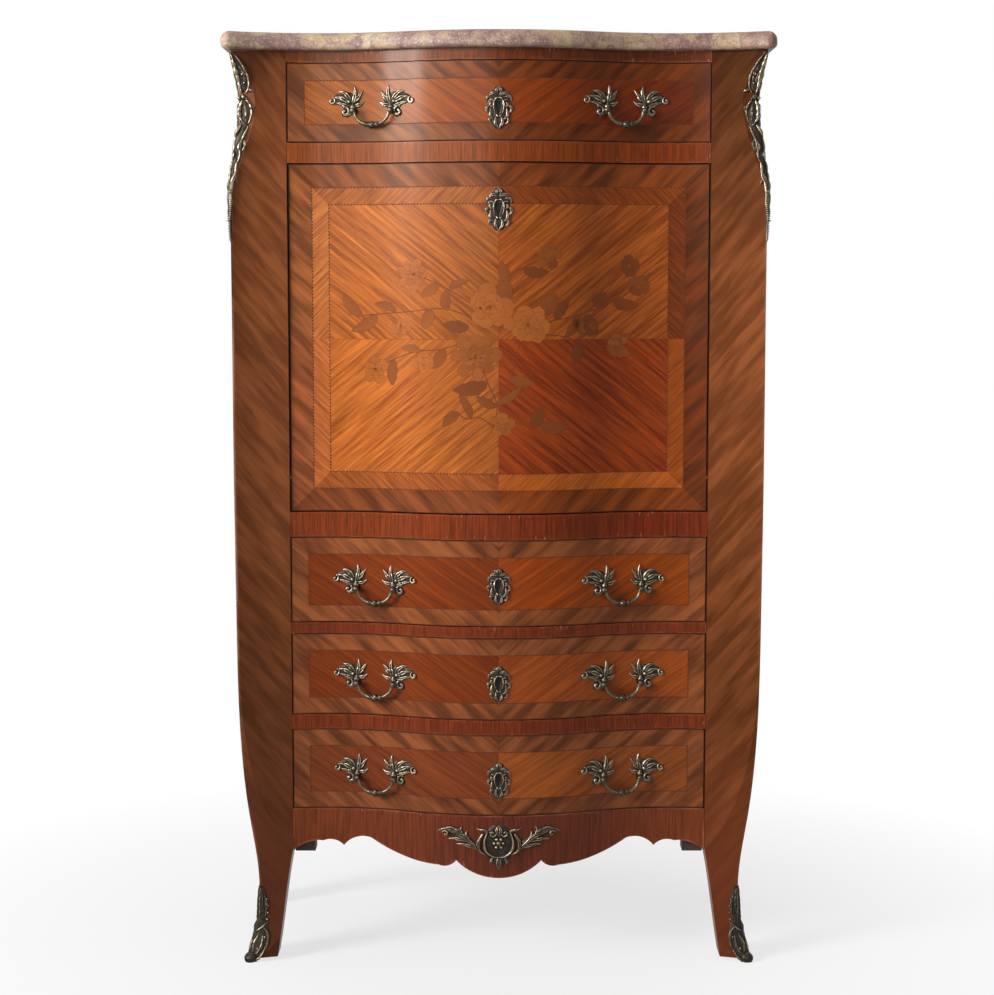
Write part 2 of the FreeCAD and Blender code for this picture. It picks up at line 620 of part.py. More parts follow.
def lock(name, low_y, top, seat):
    """Lock case with its bolt; seat names the pocket in the wood that takes the case."""
    low = ("-lock_half", low_y, f"{top} - lock_height")
    high = ("lock_half", f"{low_y} + lock_depth", top)
    pocket = block(seat, low, high)
    bolt_low = f"({low_y} + (lock_depth - bolt_depth) / 2)"
    bolt_bottom = f"({top} - bolt_length - joint_gap)"
    case_block = block(name + "_case", low, high)
    slot_half = "(bolt_half + bolt_clearance)"
    slot = block(name + "_slot",
                 (f"-{slot_half}", f"{bolt_low} - bolt_clearance", f"{bolt_bottom} - bolt_clearance"),
                 (slot_half, f"{bolt_low} + bolt_depth + bolt_clearance", f"{top} + bolt_length"))
    node(name + "_lock", cut(name + "_lock", case_block, [slot]))
    bolt = block(name + "_tongue", ("-bolt_half", bolt_low, bolt_bottom),
                 ("bolt_half", f"{bolt_low} + bolt_depth", f"{bolt_bottom} + bolt_length"))
    node(name + "_bolt", group(name + "_bolt", [bolt]))
    return pocket


# Drawers: bent front lapped over the sides, back and bottom boards
DRAWER_HALF = "(opening_half - drawer_gap)"
INNER_HALF = f"({DRAWER_HALF} - side_thickness)"
DRAWER_BACK = f"({BACK_FACE} - drawer_back_gap)"


def drawer_front_plan():
    front = curve_run(DRAWER_HALF, "0", True)
    rear = curve_run(INNER_HALF, "front_thickness", False)
    inner_end = dip_y(INNER_HALF, "front_thickness")
    return (front + [(DRAWER_HALF, dip_y(DRAWER_HALF, "0"), None), (DRAWER_HALF, "lap_depth", None),
                     (INNER_HALF, "lap_depth", None)]
            + rear + [(f"-{INNER_HALF}", inner_end, None), (f"-{INNER_HALF}", "lap_depth", None),
                      (f"-{DRAWER_HALF}", "lap_depth", None)])


def drawer(number):
    name = f"drawer_{number}"
    low = f"({BOTTOM[name]} + drawer_gap)"
    high = f"({TOP[name]} - drawer_gap)"
    blank = padded_body(f"{name}_front_blank", drawer_front_plan(), low, f"{high} - {low}")
    pocket = lock(name, "(lock_cover - bow)", high, f"{name}_lock_seat")
    hole = keyhole(f"{name}_keyhole", "-bow - front_thickness", "lock_cover - bow",
                   f"{TOP[name]} - keyhole_level")
    node(f"{name}_front", cut(f"{name}_front", blank, [pocket, hole]))
    side_top = f"({high} - side_drop)"
    boards = []
    for twin, side in SIDES:
        near, far = span(side, INNER_HALF, DRAWER_HALF)
        boards.append(block(f"{name}_side_{twin}", (near, "lap_depth", low), (far, DRAWER_BACK, side_top)))
    bottom_top = f"({low} + bottom_rise + bottom_thickness)"
    boards.append(block(f"{name}_back", (f"-{INNER_HALF}", f"{DRAWER_BACK} - side_thickness", bottom_top),
                        (INNER_HALF, DRAWER_BACK, side_top)))
    plan = flat_backed(INNER_HALF, "(front_thickness + joint_gap)", DRAWER_BACK)
    boards.append(padded_body(f"{name}_bottom", plan, f"{low} + bottom_rise", "bottom_thickness"))
    node(f"{name}_box", group(f"{name}_box", boards))


for number in DRAWERS:
    drawer(number)

# Fall front: flat inside for writing, serpentine outside, hung on brass pins above its lower edge
FALL_HALF = "(opening_half - fall_gap)"
FALL_LOW = f"({BOTTOM['fall']} + fall_gap)"
FALL_HIGH = f"({TOP['fall']} - fall_gap)"
fall_blank = padded_body("fall_blank", flat_backed(FALL_HALF, "fall_recess", "fall_inner"), FALL_LOW,
                         f"{FALL_HIGH} - {FALL_LOW}")
LEATHER = (f"({FALL_HALF} - leather_margin)", f"({FALL_LOW} + 2 * leather_margin)",
           f"({FALL_HIGH} - lock_height - leather_margin / 2)")
leather_seat = block("leather_seat", (f"-{LEATHER[0]}", "fall_inner - leather_thickness", LEATHER[1]),
                     (LEATHER[0], "fall_inner", LEATHER[2]))
fall_pocket = lock("fall", "(fall_inner - lock_depth)", FALL_HIGH, "fall_lock_seat")
fall_keyhole = keyhole("fall_keyhole", "-bow - front_thickness", "fall_inner - lock_depth",
                       f"{TOP['fall']} - keyhole_level")
STRAP_LOW = f"({PIVOT_Z} - strap_height / 2)"
straps = []
seats = []
plates = []
for name, side in SIDES:
    low, high = span(side, f"{FALL_HALF} - strap_thickness", FALL_HALF)
    corners = ((low, "0", STRAP_LOW), (high, "strap_width", f"{STRAP_LOW} + strap_height"))
    seats.append(block(f"strap_seat_{name}", *corners))
    strap = block(f"strap_{name}", *corners)
    pin = rod(f"pin_{name}", "pivot_radius", "fall_gap + strap_thickness + pivot_length",
              (signed(side, f"{FALL_HALF} - strap_thickness"), "pivot_inset", PIVOT_Z), Vector(side, 0, 0))
    straps.append(fuse(f"pivot_{name}", [strap, pin]))
    low, high = span(side, "opening_half", "opening_half + strap_thickness")
    plate = block(f"plate_{name}", (low, "0", f"{PIVOT_Z} - plate_height / 2"),
                  (high, "2 * pivot_inset + pivot_radius", f"{PIVOT_Z} + plate_height / 2"))
    eye_start = signed(side, "opening_half - strap_thickness / 2")
    eye = rod(f"plate_eye_{name}", BORE, "2 * strap_thickness", (eye_start, "pivot_inset", PIVOT_Z),
              Vector(side, 0, 0))
    plates.append(cut(f"pivot_plate_{name}", plate, [eye]))
node("fall_panel", cut("fall_panel", fall_blank, [leather_seat, fall_pocket, fall_keyhole] + seats))
node("fall_pivots", group("fall_pivots", straps))
node("pivot_plates", group("pivot_plates", plates))
hide = block("hide", (f"-{LEATHER[0]}", "fall_inner - leather_thickness", LEATHER[1]),
             (LEATHER[0], "fall_inner - leather_clearance", LEATHER[2]))
node("writing_leather", group("writing_leather", [hide]))


# Bronze on the curved front: a skin that follows the front, trimmed by the ornament's own outline
def skin(offset, thickness, low, high):
    """Skin of even thickness standing on the serpentine front."""
    half = value("opening_half")
    seat = value("joint_gap") / 2
    rims = []
    edges = []
    for depth in (offset - seat, offset - thickness):
        crest = value(CREST_RADIUS) - depth
        meet = crest * math.sin(math.radians(value(TURN)))
        marks = (-half, -(half + meet) / 2, -meet, 0, meet, (half + meet) / 2, half)
        rim = [Vector(x, front_depth(x, depth), low) for x in marks]
        for first in (0, 2, 4):
            edges.append(Part.Arc(*rim[first:first + 3]).toShape())
        rims.append(rim)
    for end in (0, -1):
        edges += lines([rims[0][end], rims[1][end]])
    return Part.Face(Part.Wire(Part.__sortEdges__(edges))).extrude(Vector(0, 0, high - low))


def closed_curve(places):
    """Closed smooth outline in the front view."""
    curve = Part.BSplineCurve()
    curve.interpolate(places, PeriodicFlag=True)
    return Part.Face(Part.Wire(curve.toShape()))


def ornament(centre, width, height, shares, offset, thickness):
    """Skin trimmed to an outline given as shares of a width and a height about a centre."""
    near = value("-bow") - value("carcass_depth")
    places = [Vector(centre.x + width * across, near, centre.z + height * up) for across, up in shares]
    prism = closed_curve(places).extrude(Vector(0, 2 * value("carcass_depth"), 0))
    return skin(offset, thickness, centre.z - height, centre.z + height).common(prism)


def both_sides(shares):
    """Whole outline from its right half, which runs from top to bottom."""
    return tuple(shares) + tuple((-wide, up) for wide, up in shares[-2:0:-1])


ESCUTCHEON_SHARES = both_sides(((0.0, 0.50), (0.22, 0.38), (0.30, 0.22), (0.50, 0.16), (0.40, -0.02),
                                (0.50, -0.18), (0.26, -0.30), (0.16, -0.42), (0.0, -0.50)))
LEAF_SHARES = ((0.08, -0.14), (0.17, 0.06), (0.17, 0.22), (0.10, 0.40), (0.02, 0.72), (-0.10, 0.46),
               (-0.24, 0.56), (-0.36, 0.42), (-0.48, 0.40), (-0.62, 0.26), (-0.46, 0.20), (-0.30, 0.06),
               (-0.24, -0.12), (-0.08, -0.16))


def escutcheon(band, offset, scale):
    centre = Vector(0, 0, value(f"{TOP[band]} - keyhole_level - keyhole_drop / 4"))
    plate = ornament(centre, value("escutcheon_width") * scale, value("escutcheon_height") * scale,
                     ESCUTCHEON_SHARES, offset, value("mount_thickness"))
    reach = value("carcass_depth")
    eye_z = value(f"{TOP[band]} - keyhole_level")
    radius = value("keyhole_radius")
    eye = Part.makeCylinder(radius, reach, Vector(0, -reach, eye_z), Vector(0, 1, 0))
    width = value("keyhole_slot")
    drop = value("keyhole_drop")
    slot = Part.makeBox(width, reach, drop, Vector(-width / 2, -reach, eye_z - drop))
    return plate.cut(eye.fuse(slot))


node("fall_escutcheon", feature("fall_escutcheon", escutcheon("fall", value("fall_recess"),
                                                              value("fall_escutcheon_share"))))

# Handles: two leaf plates with knuckles, and a bail that swings in them
HANDLE_X = value("opening_half - handle_margin")
TILT = math.asin((value(DIP_REACH) - HANDLE_X) / value(DIP_RADIUS))
ALONG = Vector(math.cos(TILT), math.sin(TILT), 0)
OUTWARD = Vector(math.sin(TILT), -math.cos(TILT), 0)


def handle_middle(number):
    """Middle of the bail's axis on the right side of a drawer."""
    name = f"drawer_{number}"
    height = value(f"({BOTTOM[name]} + {TOP[name]}) / 2 - handle_drop")
    return Vector(HANDLE_X, front_depth(HANDLE_X), height) + OUTWARD * value("handle_stand")


def handle_plates(number):
    """The two leaf plates of the right-hand handle."""
    middle = handle_middle(number)
    knuckle = value("knuckle_radius")
    width, height, thickness = value("leaf_width"), value("leaf_height"), value("mount_thickness")
    plates = []
    for turn in (-1, 1):
        centre = middle + ALONG * (turn * value("handle_spread") / 2)
        shares = [(-turn * across, up) for across, up in LEAF_SHARES]
        plate = ornament(centre, width, height, shares, 0.0, thickness)
        stem_length = value("handle_stand - mount_thickness / 2")
        stem = Part.makeCylinder(value("post_radius"), stem_length, centre, OUTWARD * -1)
        radius = value("bail_radius + bail_clearance")
        bore = Part.makeCylinder(radius, 4 * knuckle, centre - ALONG * (2 * knuckle), ALONG)
        plates.append(plate.fuse([stem, Part.makeSphere(knuckle, centre)]).cut(bore).removeSplitter())
    return plates


def bail(middle):
    """Bent bar with pins along its axis, a hanging loop and a turned knop at the bottom."""
    radius, bend, sweep, drop = (value(f"bail_{size}") for size in ("radius", "bend", "sweep", "drop"))
    pin = value("handle_spread / 2 + knuckle_radius")
    shoulder = value("handle_spread / 2 - knuckle_radius - joint_gap")
    arm = shoulder - bend
    down = Vector(0, 0, -1)
    quarter = 90

    def place(along, below):
        return middle + ALONG * along + down * below

    def bar(start, stop):
        return Part.makeCylinder(radius, (stop - start).Length, start, stop - start)

    def elbow(start, heading, centre, turn):
        ring = Part.Face(Part.Wire(Part.makeCircle(radius, start, heading)))
        return ring.revolve(centre, OUTWARD, turn)

    knop = Part.makeSphere(value("knop_radius"), place(0, drop), ALONG)
    pieces = [knop]
    for side in (-1, 1):
        pieces += [bar(place(side * pin, 0), place(side * shoulder, 0)),
                   elbow(place(side * shoulder, 0), ALONG, place(side * shoulder, bend), side * quarter),
                   bar(place(side * arm, bend), place(side * arm, drop - sweep)),
                   elbow(place(side * arm, drop - sweep), down, place(side * (arm - sweep), drop - sweep),
                         -side * quarter)]
    foot = bar(place(sweep - arm, drop), place(arm - sweep, drop))
    return foot.multiFuse(pieces).removeSplitter()


for number in DRAWERS:
    right_plates = handle_plates(number)
    left_plates = [mirrored(plate) for plate in right_plates]
    solids = right_plates + left_plates + [escutcheon(f"drawer_{number}", 0.0, 1.0)]
    node(f"drawer_{number}_mounts", feature(f"drawer_{number}_mounts", Part.makeCompound(solids)))
    right_bail = bail(handle_middle(number))
    node(f"drawer_{number}_bail_left", feature(f"drawer_{number}_bail_left", mirrored(right_bail)))
    node(f"drawer_{number}_bail_right", feature(f"drawer_{number}_bail_right", right_bail))

# Corner mounts and sabots: a shell grown from the post, trimmed by a leaf seen along the corner's diagonal
CORNER_SHARES = ((0.30, 1.0), (0.82, 0.93), (1.0, 0.87), (0.93, 0.81), (0.48, 0.755), (0.93, 0.68),
                 (0.88, 0.595), (0.60, 0.46), (0.52, 0.32), (0.36, 0.22), (0.20, 0.0))
SABOT_SHARES = ((0.0, 1.0), (0.28, 0.92), (0.36, 0.80), (0.56, 0.60), (0.66, 0.44), (0.92, 0.26), (1.0, 0.10),
                (0.94, 0.0))


MOUNT_REACH_SHARE = 0.55


def corner_leaf(shares, half, bottom, height, arris):
    """Prism along the diagonal of the right front corner, leaf-shaped about the arris."""
    across = Vector(1, 1, 0).normalize()
    inward = Vector(-1, 1, 0).normalize()
    far = value("post_depth")
    start = arris - inward * far + Vector(0, 0, bottom)
    right = [start + across * (half * wide) + Vector(0, 0, height * up) for wide, up in shares]
    left = [start - across * (half * wide) + Vector(0, 0, height * up) for wide, up in shares]
    edges = [spline(right), spline(left)]
    for end in (0, -1):
        if shares[end][0] > 0:
            edges.append(Part.makeLine(right[end], left[end]))
    face = Part.Face(Part.Wire(Part.__sortEdges__(edges)))
    return face.extrude(inward * (far + MOUNT_REACH_SHARE * far))


ARRIS = Vector(value(HALF_WIDTH), value(dip_y(HALF_WIDTH, "0")), 0)
seat_gap = value("joint_gap")
shell = front_post(value("mount_thickness")).cut(front_post(seat_gap))
mount_low = CARCASS_TOP - value("corner_mount_drop + corner_mount_length")
corner_mount = shell.common(corner_leaf(CORNER_SHARES, value("corner_mount_half"), mount_low,
                                        value("corner_mount_length"), ARRIS))
foot = front_post(value("mount_thickness")).cut(front_post(seat_gap).common(slab_between(SOLE, CARCASS_TOP)))
ankle_arris = ARRIS + Vector(-value("ankle_draw"), value("ankle_draw"), 0) / 2
sabot = foot.common(corner_leaf(SABOT_SHARES, value("sabot_half"), 0.0, value("sabot_height"), ankle_arris))
for label, shape in (("corner_mount", corner_mount), ("sabot", sabot)):
    node(f"{label}_left", feature(f"{label}_left", mirrored(shape)))
    node(f"{label}_right", feature(f"{label}_right", shape))

# Apron mount: spread leaf on the middle of the apron
APRON_MOUNT_SHARES = both_sides(((0.0, 0.50), (0.11, 0.40), (0.20, 0.39), (0.21, 0.20), (0.29, 0.40),
                                 (0.42, 0.47), (0.50, 0.37), (0.41, 0.12), (0.25, 0.03), (0.14, -0.16),
                                 (0.085, -0.29), (0.0, -0.50)))
mount_middle = Vector(0, 0, LEG - value("apron_mount_drop + apron_mount_height / 2"))
spread_leaf = ornament(mount_middle, value("apron_mount_width"), value("apron_mount_height"),
                       APRON_MOUNT_SHARES, 0.0, value("apron_mount_thickness"))
node("apron_mount", feature("apron_mount", spread_leaf))

# Every sub-part moves together so that the origin lies under the middle of the overall box
doc.recompute()
for label, piece in NODES.items():
    bind(piece, "Placement.Base.y", CENTRE_SHIFT)
doc.recompute()

faults = [item.Label for item in doc.Objects if {"Invalid", "Error"} & set(item.State)]
faults += [label for label, piece in NODES.items() if piece.Shape.isNull() or not piece.Shape.isValid()]
if faults:
    raise RuntimeError("failed pieces: " + ", ".join(faults))
os.makedirs("parts", exist_ok=True)
for label, piece in NODES.items():
    piece.Shape.exportStep(f"parts/{label}.step")
print(len(NODES), "sub-parts written")
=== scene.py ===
"""A serpentine drop-front escritoire: marble slab, veneered oak case, four drawers and a writing fall."""

import json
import math

import bpy
import numpy as np
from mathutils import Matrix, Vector
from mathutils.bvhtree import BVHTree


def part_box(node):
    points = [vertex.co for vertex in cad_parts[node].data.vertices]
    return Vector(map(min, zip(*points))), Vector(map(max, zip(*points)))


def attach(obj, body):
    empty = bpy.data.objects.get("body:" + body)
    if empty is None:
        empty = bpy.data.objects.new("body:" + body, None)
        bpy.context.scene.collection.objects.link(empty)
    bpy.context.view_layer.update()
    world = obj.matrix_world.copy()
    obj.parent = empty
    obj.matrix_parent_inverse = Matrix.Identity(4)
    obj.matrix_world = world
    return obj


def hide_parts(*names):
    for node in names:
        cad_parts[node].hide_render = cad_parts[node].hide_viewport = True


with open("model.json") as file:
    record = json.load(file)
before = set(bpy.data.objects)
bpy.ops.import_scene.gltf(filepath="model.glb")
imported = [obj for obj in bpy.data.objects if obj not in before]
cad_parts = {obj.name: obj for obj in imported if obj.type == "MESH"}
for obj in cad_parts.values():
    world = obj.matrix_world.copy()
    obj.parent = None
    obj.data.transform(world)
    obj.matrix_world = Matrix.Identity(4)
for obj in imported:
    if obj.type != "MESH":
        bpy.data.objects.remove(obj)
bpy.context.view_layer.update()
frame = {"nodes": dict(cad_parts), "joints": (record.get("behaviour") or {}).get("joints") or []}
nodes = frame["nodes"]


# Inner boards of the case: back, top and bottom boards, drawer runners and dust boards.
# Quarter-sawn oak, planed and left bare, grey-brown with age; the bottom board is painted dark brown as the
# shade under the apron.
# The boards are grooved and nailed between the four posts.
def srgb(red, green, blue):
    """A colour read off a print, 0 to 255, as the linear colour that a shader takes."""
    shares = [level / 255 for level in (red, green, blue)]
    linear = [s / 12.92 if s <= 0.04045 else ((s + 0.055) / 1.055) ** 2.4 for s in shares]
    return (*linear, 1.0)


def put(tree, kind, sockets=None, **settings):
    """Adds a node. Settings are its properties; sockets its inputs, each a value or another node's output."""
    made = tree.nodes.new(kind)
    for key, value in settings.items():
        setattr(made, key, value)
    for key, value in (sockets or {}).items():
        if isinstance(value, bpy.types.NodeSocket):
            tree.links.new(value, made.inputs[key])
        else:
            made.inputs[key].default_value = value
    return made


def maths(tree, operation, first, second=0.0):
    return put(tree, "ShaderNodeMath", {0: first, 1: second}, operation=operation).outputs[0]


def times(tree, first, second):
    return maths(tree, "MULTIPLY", first, second)


def plus(tree, first, second):
    return maths(tree, "ADD", first, second)


def minus(tree, first, second):
    return maths(tree, "SUBTRACT", first, second)


def larger(tree, first, second):
    return maths(tree, "MAXIMUM", first, second)


def span(tree, value, low, high, to_low=0.0, to_high=1.0):
    """The value's place between low and high, held at both ends."""
    sockets = {"Value": value, "From Min": low, "From Max": high, "To Min": to_low, "To Max": to_high}
    return put(tree, "ShaderNodeMapRange", sockets).outputs["Result"]


def split(tree, vector):
    return put(tree, "ShaderNodeSeparateXYZ", {0: vector}).outputs


def join(tree, x, y, z):
    return put(tree, "ShaderNodeCombineXYZ", {0: x, 1: y, 2: z}).outputs[0]


def mix(tree, share, first, second, blend="MIX"):
    sockets = {0: share, 6: first, 7: second}
    return put(tree, "ShaderNodeMix", sockets, data_type="RGBA", blend_type=blend).outputs[2]


def noise(tree, vector, scale, detail=2.0, roughness=0.5):
    sockets = {"Vector": vector, "Scale": scale, "Detail": detail, "Roughness": roughness}
    return put(tree, "ShaderNodeTexNoise", sockets).outputs["Fac"]


def packed(tree, first, second, third, counts):
    """A place for a fine pattern: its first two coordinates are counted by the metre."""
    return join(tree, times(tree, first, counts[0]), times(tree, second, counts[1]), third)


def own_place(tree):
    """The point's place in the object's own frame, in metres."""
    return put(tree, "ShaderNodeTexCoord").outputs["Object"]


def group_sockets(tree, inputs, outputs):
    """Names a node group's inputs and outputs, and returns the inputs' values and the output node."""
    for side, pairs in (("INPUT", inputs), ("OUTPUT", outputs)):
        for name, kind in pairs:
            tree.interface.new_socket(name, in_out=side, socket_type="NodeSocket" + kind)
    return tree.nodes.new("NodeGroupInput").outputs, tree.nodes.new("NodeGroupOutput")


def figured_wood_group():
    """Wood with ribbons, long streaks, veins and fibres. Place has X across the grain and Y along it."""
    tree = bpy.data.node_groups.new("figured_wood", "ShaderNodeTree")
    given, out = group_sockets(
        tree,
        (("Place", "Vector"), ("Ribbon width", "Float"), ("Ribbon share", "Float"), ("Wander", "Float"),
         ("Veins", "Float"), ("Pale", "Color"), ("Dark", "Color")),
        (("Color", "Color"), ("Fibre", "Float")))
    x, y, z = split(tree, given["Place"])
    drift = minus(tree, noise(tree, given["Place"], DRIFTS), 0.5)
    across = plus(tree, x, times(tree, drift, given["Wander"]))
    turns = maths(tree, "DIVIDE", across, given["Ribbon width"])
    along = maths(tree, "DIVIDE", y, times(tree, given["Ribbon width"], STREAK_LENGTH))
    ribbon_place = join(tree, turns, times(tree, along, STREAKS_A_RIBBON), z)
    ribbons = span(tree, noise(tree, ribbon_place, 1.0), 0.38, 0.64)
    streaks = span(tree, noise(tree, join(tree, turns, along, z), 2.6, 5.0, 0.68), 0.36, 0.66)
    chosen = put(tree, "ShaderNodeMix", {0: given["Ribbon share"], 2: streaks, 3: ribbons}).outputs[0]
    vein = span(tree, noise(tree, packed(tree, across, y, z, VEINS), 1.0), 0.53, 0.68)
    fibre = noise(tree, packed(tree, across, y, z, FIBRES), 1.0, 3.0, 0.6)
    base = mix(tree, chosen, given["Dark"], given["Pale"])
    darkened = larger(tree, times(tree, vein, given["Veins"]), span(tree, fibre, 0.4, 0.8, 0.0, 0.4))
    tree.links.new(mix(tree, darkened, base, given["Dark"]), out.inputs["Color"])
    tree.links.new(fibre, out.inputs["Fibre"])
    return tree


# Drifts, veins and fibres are counted by the metre, the last two across the grain and along it;
# a streak's length is counted in ribbon widths.
DRIFTS, VEINS, FIBRES = 6.0, (300.0, 8.0), (900.0, 26.0)
STREAK_LENGTH, STREAKS_A_RIBBON = 22.0, 3.0
FIGURED_WOOD = figured_wood_group()


def figured(tree, place, pale, dark, ribbon, share, wander, veins=0.6):
    """Places the figured wood with a timber's own colours and sizes, in metres."""
    sockets = {"Place": place, "Pale": pale, "Dark": dark, "Ribbon width": ribbon, "Ribbon share": share,
               "Wander": wander, "Veins": veins}
    return put(tree, "ShaderNodeGroup", sockets, node_tree=FIGURED_WOOD).outputs


def new_finish(name, **constants):
    """A new material, its tree and its shader, with the shader's constant values set."""
    material = bpy.data.materials.new(name)
    material.use_nodes = True
    tree = material.node_tree
    shader = tree.nodes["Principled BSDF"]
    for key, value in constants.items():
        shader.inputs[key.replace("_", " ")].default_value = value
    return material, tree, shader


def coloured(tree, shader, colour, roughness):
    """Joins a finish's colour and roughness to its shader."""
    tree.links.new(colour, shader.inputs["Base Color"])
    tree.links.new(roughness, shader.inputs["Roughness"])


def roughened(tree, shader, height, strength, depth):
    """Joins a fine relief, its depth in metres, to a shader."""
    bump = put(tree, "ShaderNodeBump", {"Height": height, "Strength": strength, "Distance": depth})
    tree.links.new(bump.outputs["Normal"], shader.inputs["Normal"])


def finish_wood(tree, shader, colour, fibre, smooth=0.3, rough=0.44, depth=0.0001):
    """Joins a wood's colour, roughness and fibre relief to its shader, by itself as polished veneer."""
    coloured(tree, shader, colour, span(tree, fibre, 0.3, 0.8, smooth, rough))
    roughened(tree, shader, fibre, 0.35, depth)


def dress(material, *names):
    """Gives CAD nodes a finish."""
    for name in names:
        nodes[name].data.materials.clear()
        nodes[name].data.materials.append(material)


def plain_timber(name, pale, dark, upright):
    """Bare boards: the grain runs up the board, or else along it."""
    material, tree, shader = new_finish(name)
    x, y, z = split(tree, own_place(tree))
    place = join(tree, x, z, y) if upright else join(tree, z, x, y)
    wood = figured(tree, place, pale, dark, ribbon=0.030, share=0.1, wander=0.018)
    finish_wood(tree, shader, wood["Color"], wood["Fibre"], smooth=0.55, rough=0.8, depth=0.0004)
    return material


CASE_OAK = plain_timber("case_oak", srgb(146, 108, 70), srgb(96, 66, 40), upright=True)
BOX_OAK = plain_timber("box_oak", srgb(186, 146, 98), srgb(142, 104, 64), upright=False)
# Painted shade: the bottom board seen under the apron is made dark.
SHADED_UNDER_OAK = plain_timber("shaded_under_oak", srgb(74, 42, 28), srgb(44, 24, 16), upright=False)
dress(CASE_OAK, "back_panel")
dress(SHADED_UNDER_OAK, "bottom_board")
dress(BOX_OAK, "top_board", "drawer_runners", "dust_boards")


# Posts and sides: each front post runs down into a cabriole leg in one piece; the rear posts are plainer.
# Oak, veneered in kingwood laid on the slant so that its dark ribbons fall inwards on both sides.
# The sides carry the same veneer, the backs are stained; the polish is rubbed through along the front arris,
# and that pale line is stronger on the left as a painted highlight. Each post is darker at the foot and under
# the slab as painted light and shade, the left one low down and the right one high up, and darker along its
# inner edge as painted shade.
def worn_edge_group():
    """A mask of hard edges: where a rounded edge would turn away from the true face."""
    tree = bpy.data.node_groups.new("worn_edge", "ShaderNodeTree")
    given, out = group_sockets(tree, (("Radius", "Float"), ("Patches", "Float")), (("Mask", "Float"),))
    rounded = put(tree, "ShaderNodeBevel", {"Radius": given["Radius"]}, samples=4).outputs["Normal"]
    true = put(tree, "ShaderNodeNewGeometry").outputs["True Normal"]
    agreed = put(tree, "ShaderNodeVectorMath", {0: rounded, 1: true}, operation="DOT_PRODUCT")
    edge = span(tree, agreed.outputs["Value"], 0.985, 0.86)
    rubbed = span(tree, noise(tree, own_place(tree), given["Patches"], 3.0), 0.36, 0.62)
    tree.links.new(times(tree, edge, rubbed), out.inputs["Mask"])
    return tree


WORN_EDGE = worn_edge_group()


def wear(tree, colour, radius, patches, bare):
    """The finish with its hard edges rubbed through to bare wood, patches to the metre."""
    edge = put(tree, "ShaderNodeGroup", {"Radius": radius, "Patches": patches}, node_tree=WORN_EDGE)
    return mix(tree, edge.outputs["Mask"], colour, bare)


def apart(tree, value):
    """How far a value is from nought, on either side."""
    return maths(tree, "ABSOLUTE", value)


def slanted(tree, across, up, through, angle):
    """Turns a place so that the grain climbs at this angle (degrees) as the first coordinate grows."""
    place = join(tree, across, up, through)
    turn = (0.0, 0.0, math.radians(90.0 - angle))
    return put(tree, "ShaderNodeMapping", {"Vector": place, "Rotation": turn}).outputs[0]


def toned(tree, colour, tone):
    """The colour brought down by a tone, a share of each of red, green and blue."""
    return mix(tree, 1.0, colour, tone, "MULTIPLY")


def ramp(tree, share, stops):
    """A colour picked along a row of (place, colour) stops."""
    made = put(tree, "ShaderNodeValToRGB", {"Fac": share})
    row = made.color_ramp.elements
    while len(row) < len(stops):
        row.new(1.0)
    for element, (place, colour) in zip(row, stops):
        element.position, element.color = place, colour
    return made.outputs[0]


def grey(level):
    return (level, level, level, 1.0)


POLISH = {"Coat_Weight": 0.12, "Coat_Roughness": 0.17, "Specular_IOR_Level": 0.1,
          "Specular_Tint": srgb(255, 214, 176)}
# A dark colour for painted shade: in the gaps round the fronts and under the slab.
PAINTED_SHADE = srgb(62, 27, 14)
SHADE_FADE = 0.0006
post_low, post_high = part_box("front_post_right")
POST_HEIGHT, POST_INNER, POST_BACK = post_high.z, post_low.x, post_high.y
POST_PALE, POST_DARK, POST_PLAIN = srgb(138, 79, 43), srgb(94, 49, 25), srgb(114, 57, 37)
POST_SLANT = 51.0
KNEE_TOP, KNEE_FOOT = 0.36, 0.16
ARRIS_START, ARRIS_FULL, ARRIS_WEAR, ARRIS_PATCHES = 0.35, 0.366, 0.006, 7.0
ARRIS_END, ARRIS_BACK = POST_BACK - 0.008, POST_BACK - 0.014
LEFT_SIDE, RIGHT_SIDE = -0.1, 0.1
STAINED_OAK, RUBBED_ARRIS_AND_HIGHLIGHT = srgb(104, 68, 42), srgb(214, 160, 138)
# Share of the height, and how much of the colour is left there on the left post and on the right one: painted
# light and shade, dark at the foot and under the slab, the left post darker low down and the right one darker
# high up.
POST_LIGHT_LEVELS = ((0.02, 0.40, 0.68), (0.1, 0.48, 0.92), (0.3, 0.58, 0.62), (0.6, 0.95, 0.95), (0.75, 1.0, 0.9),
               (0.94, 1.0, 0.44), (1.0, 0.5, 0.3))


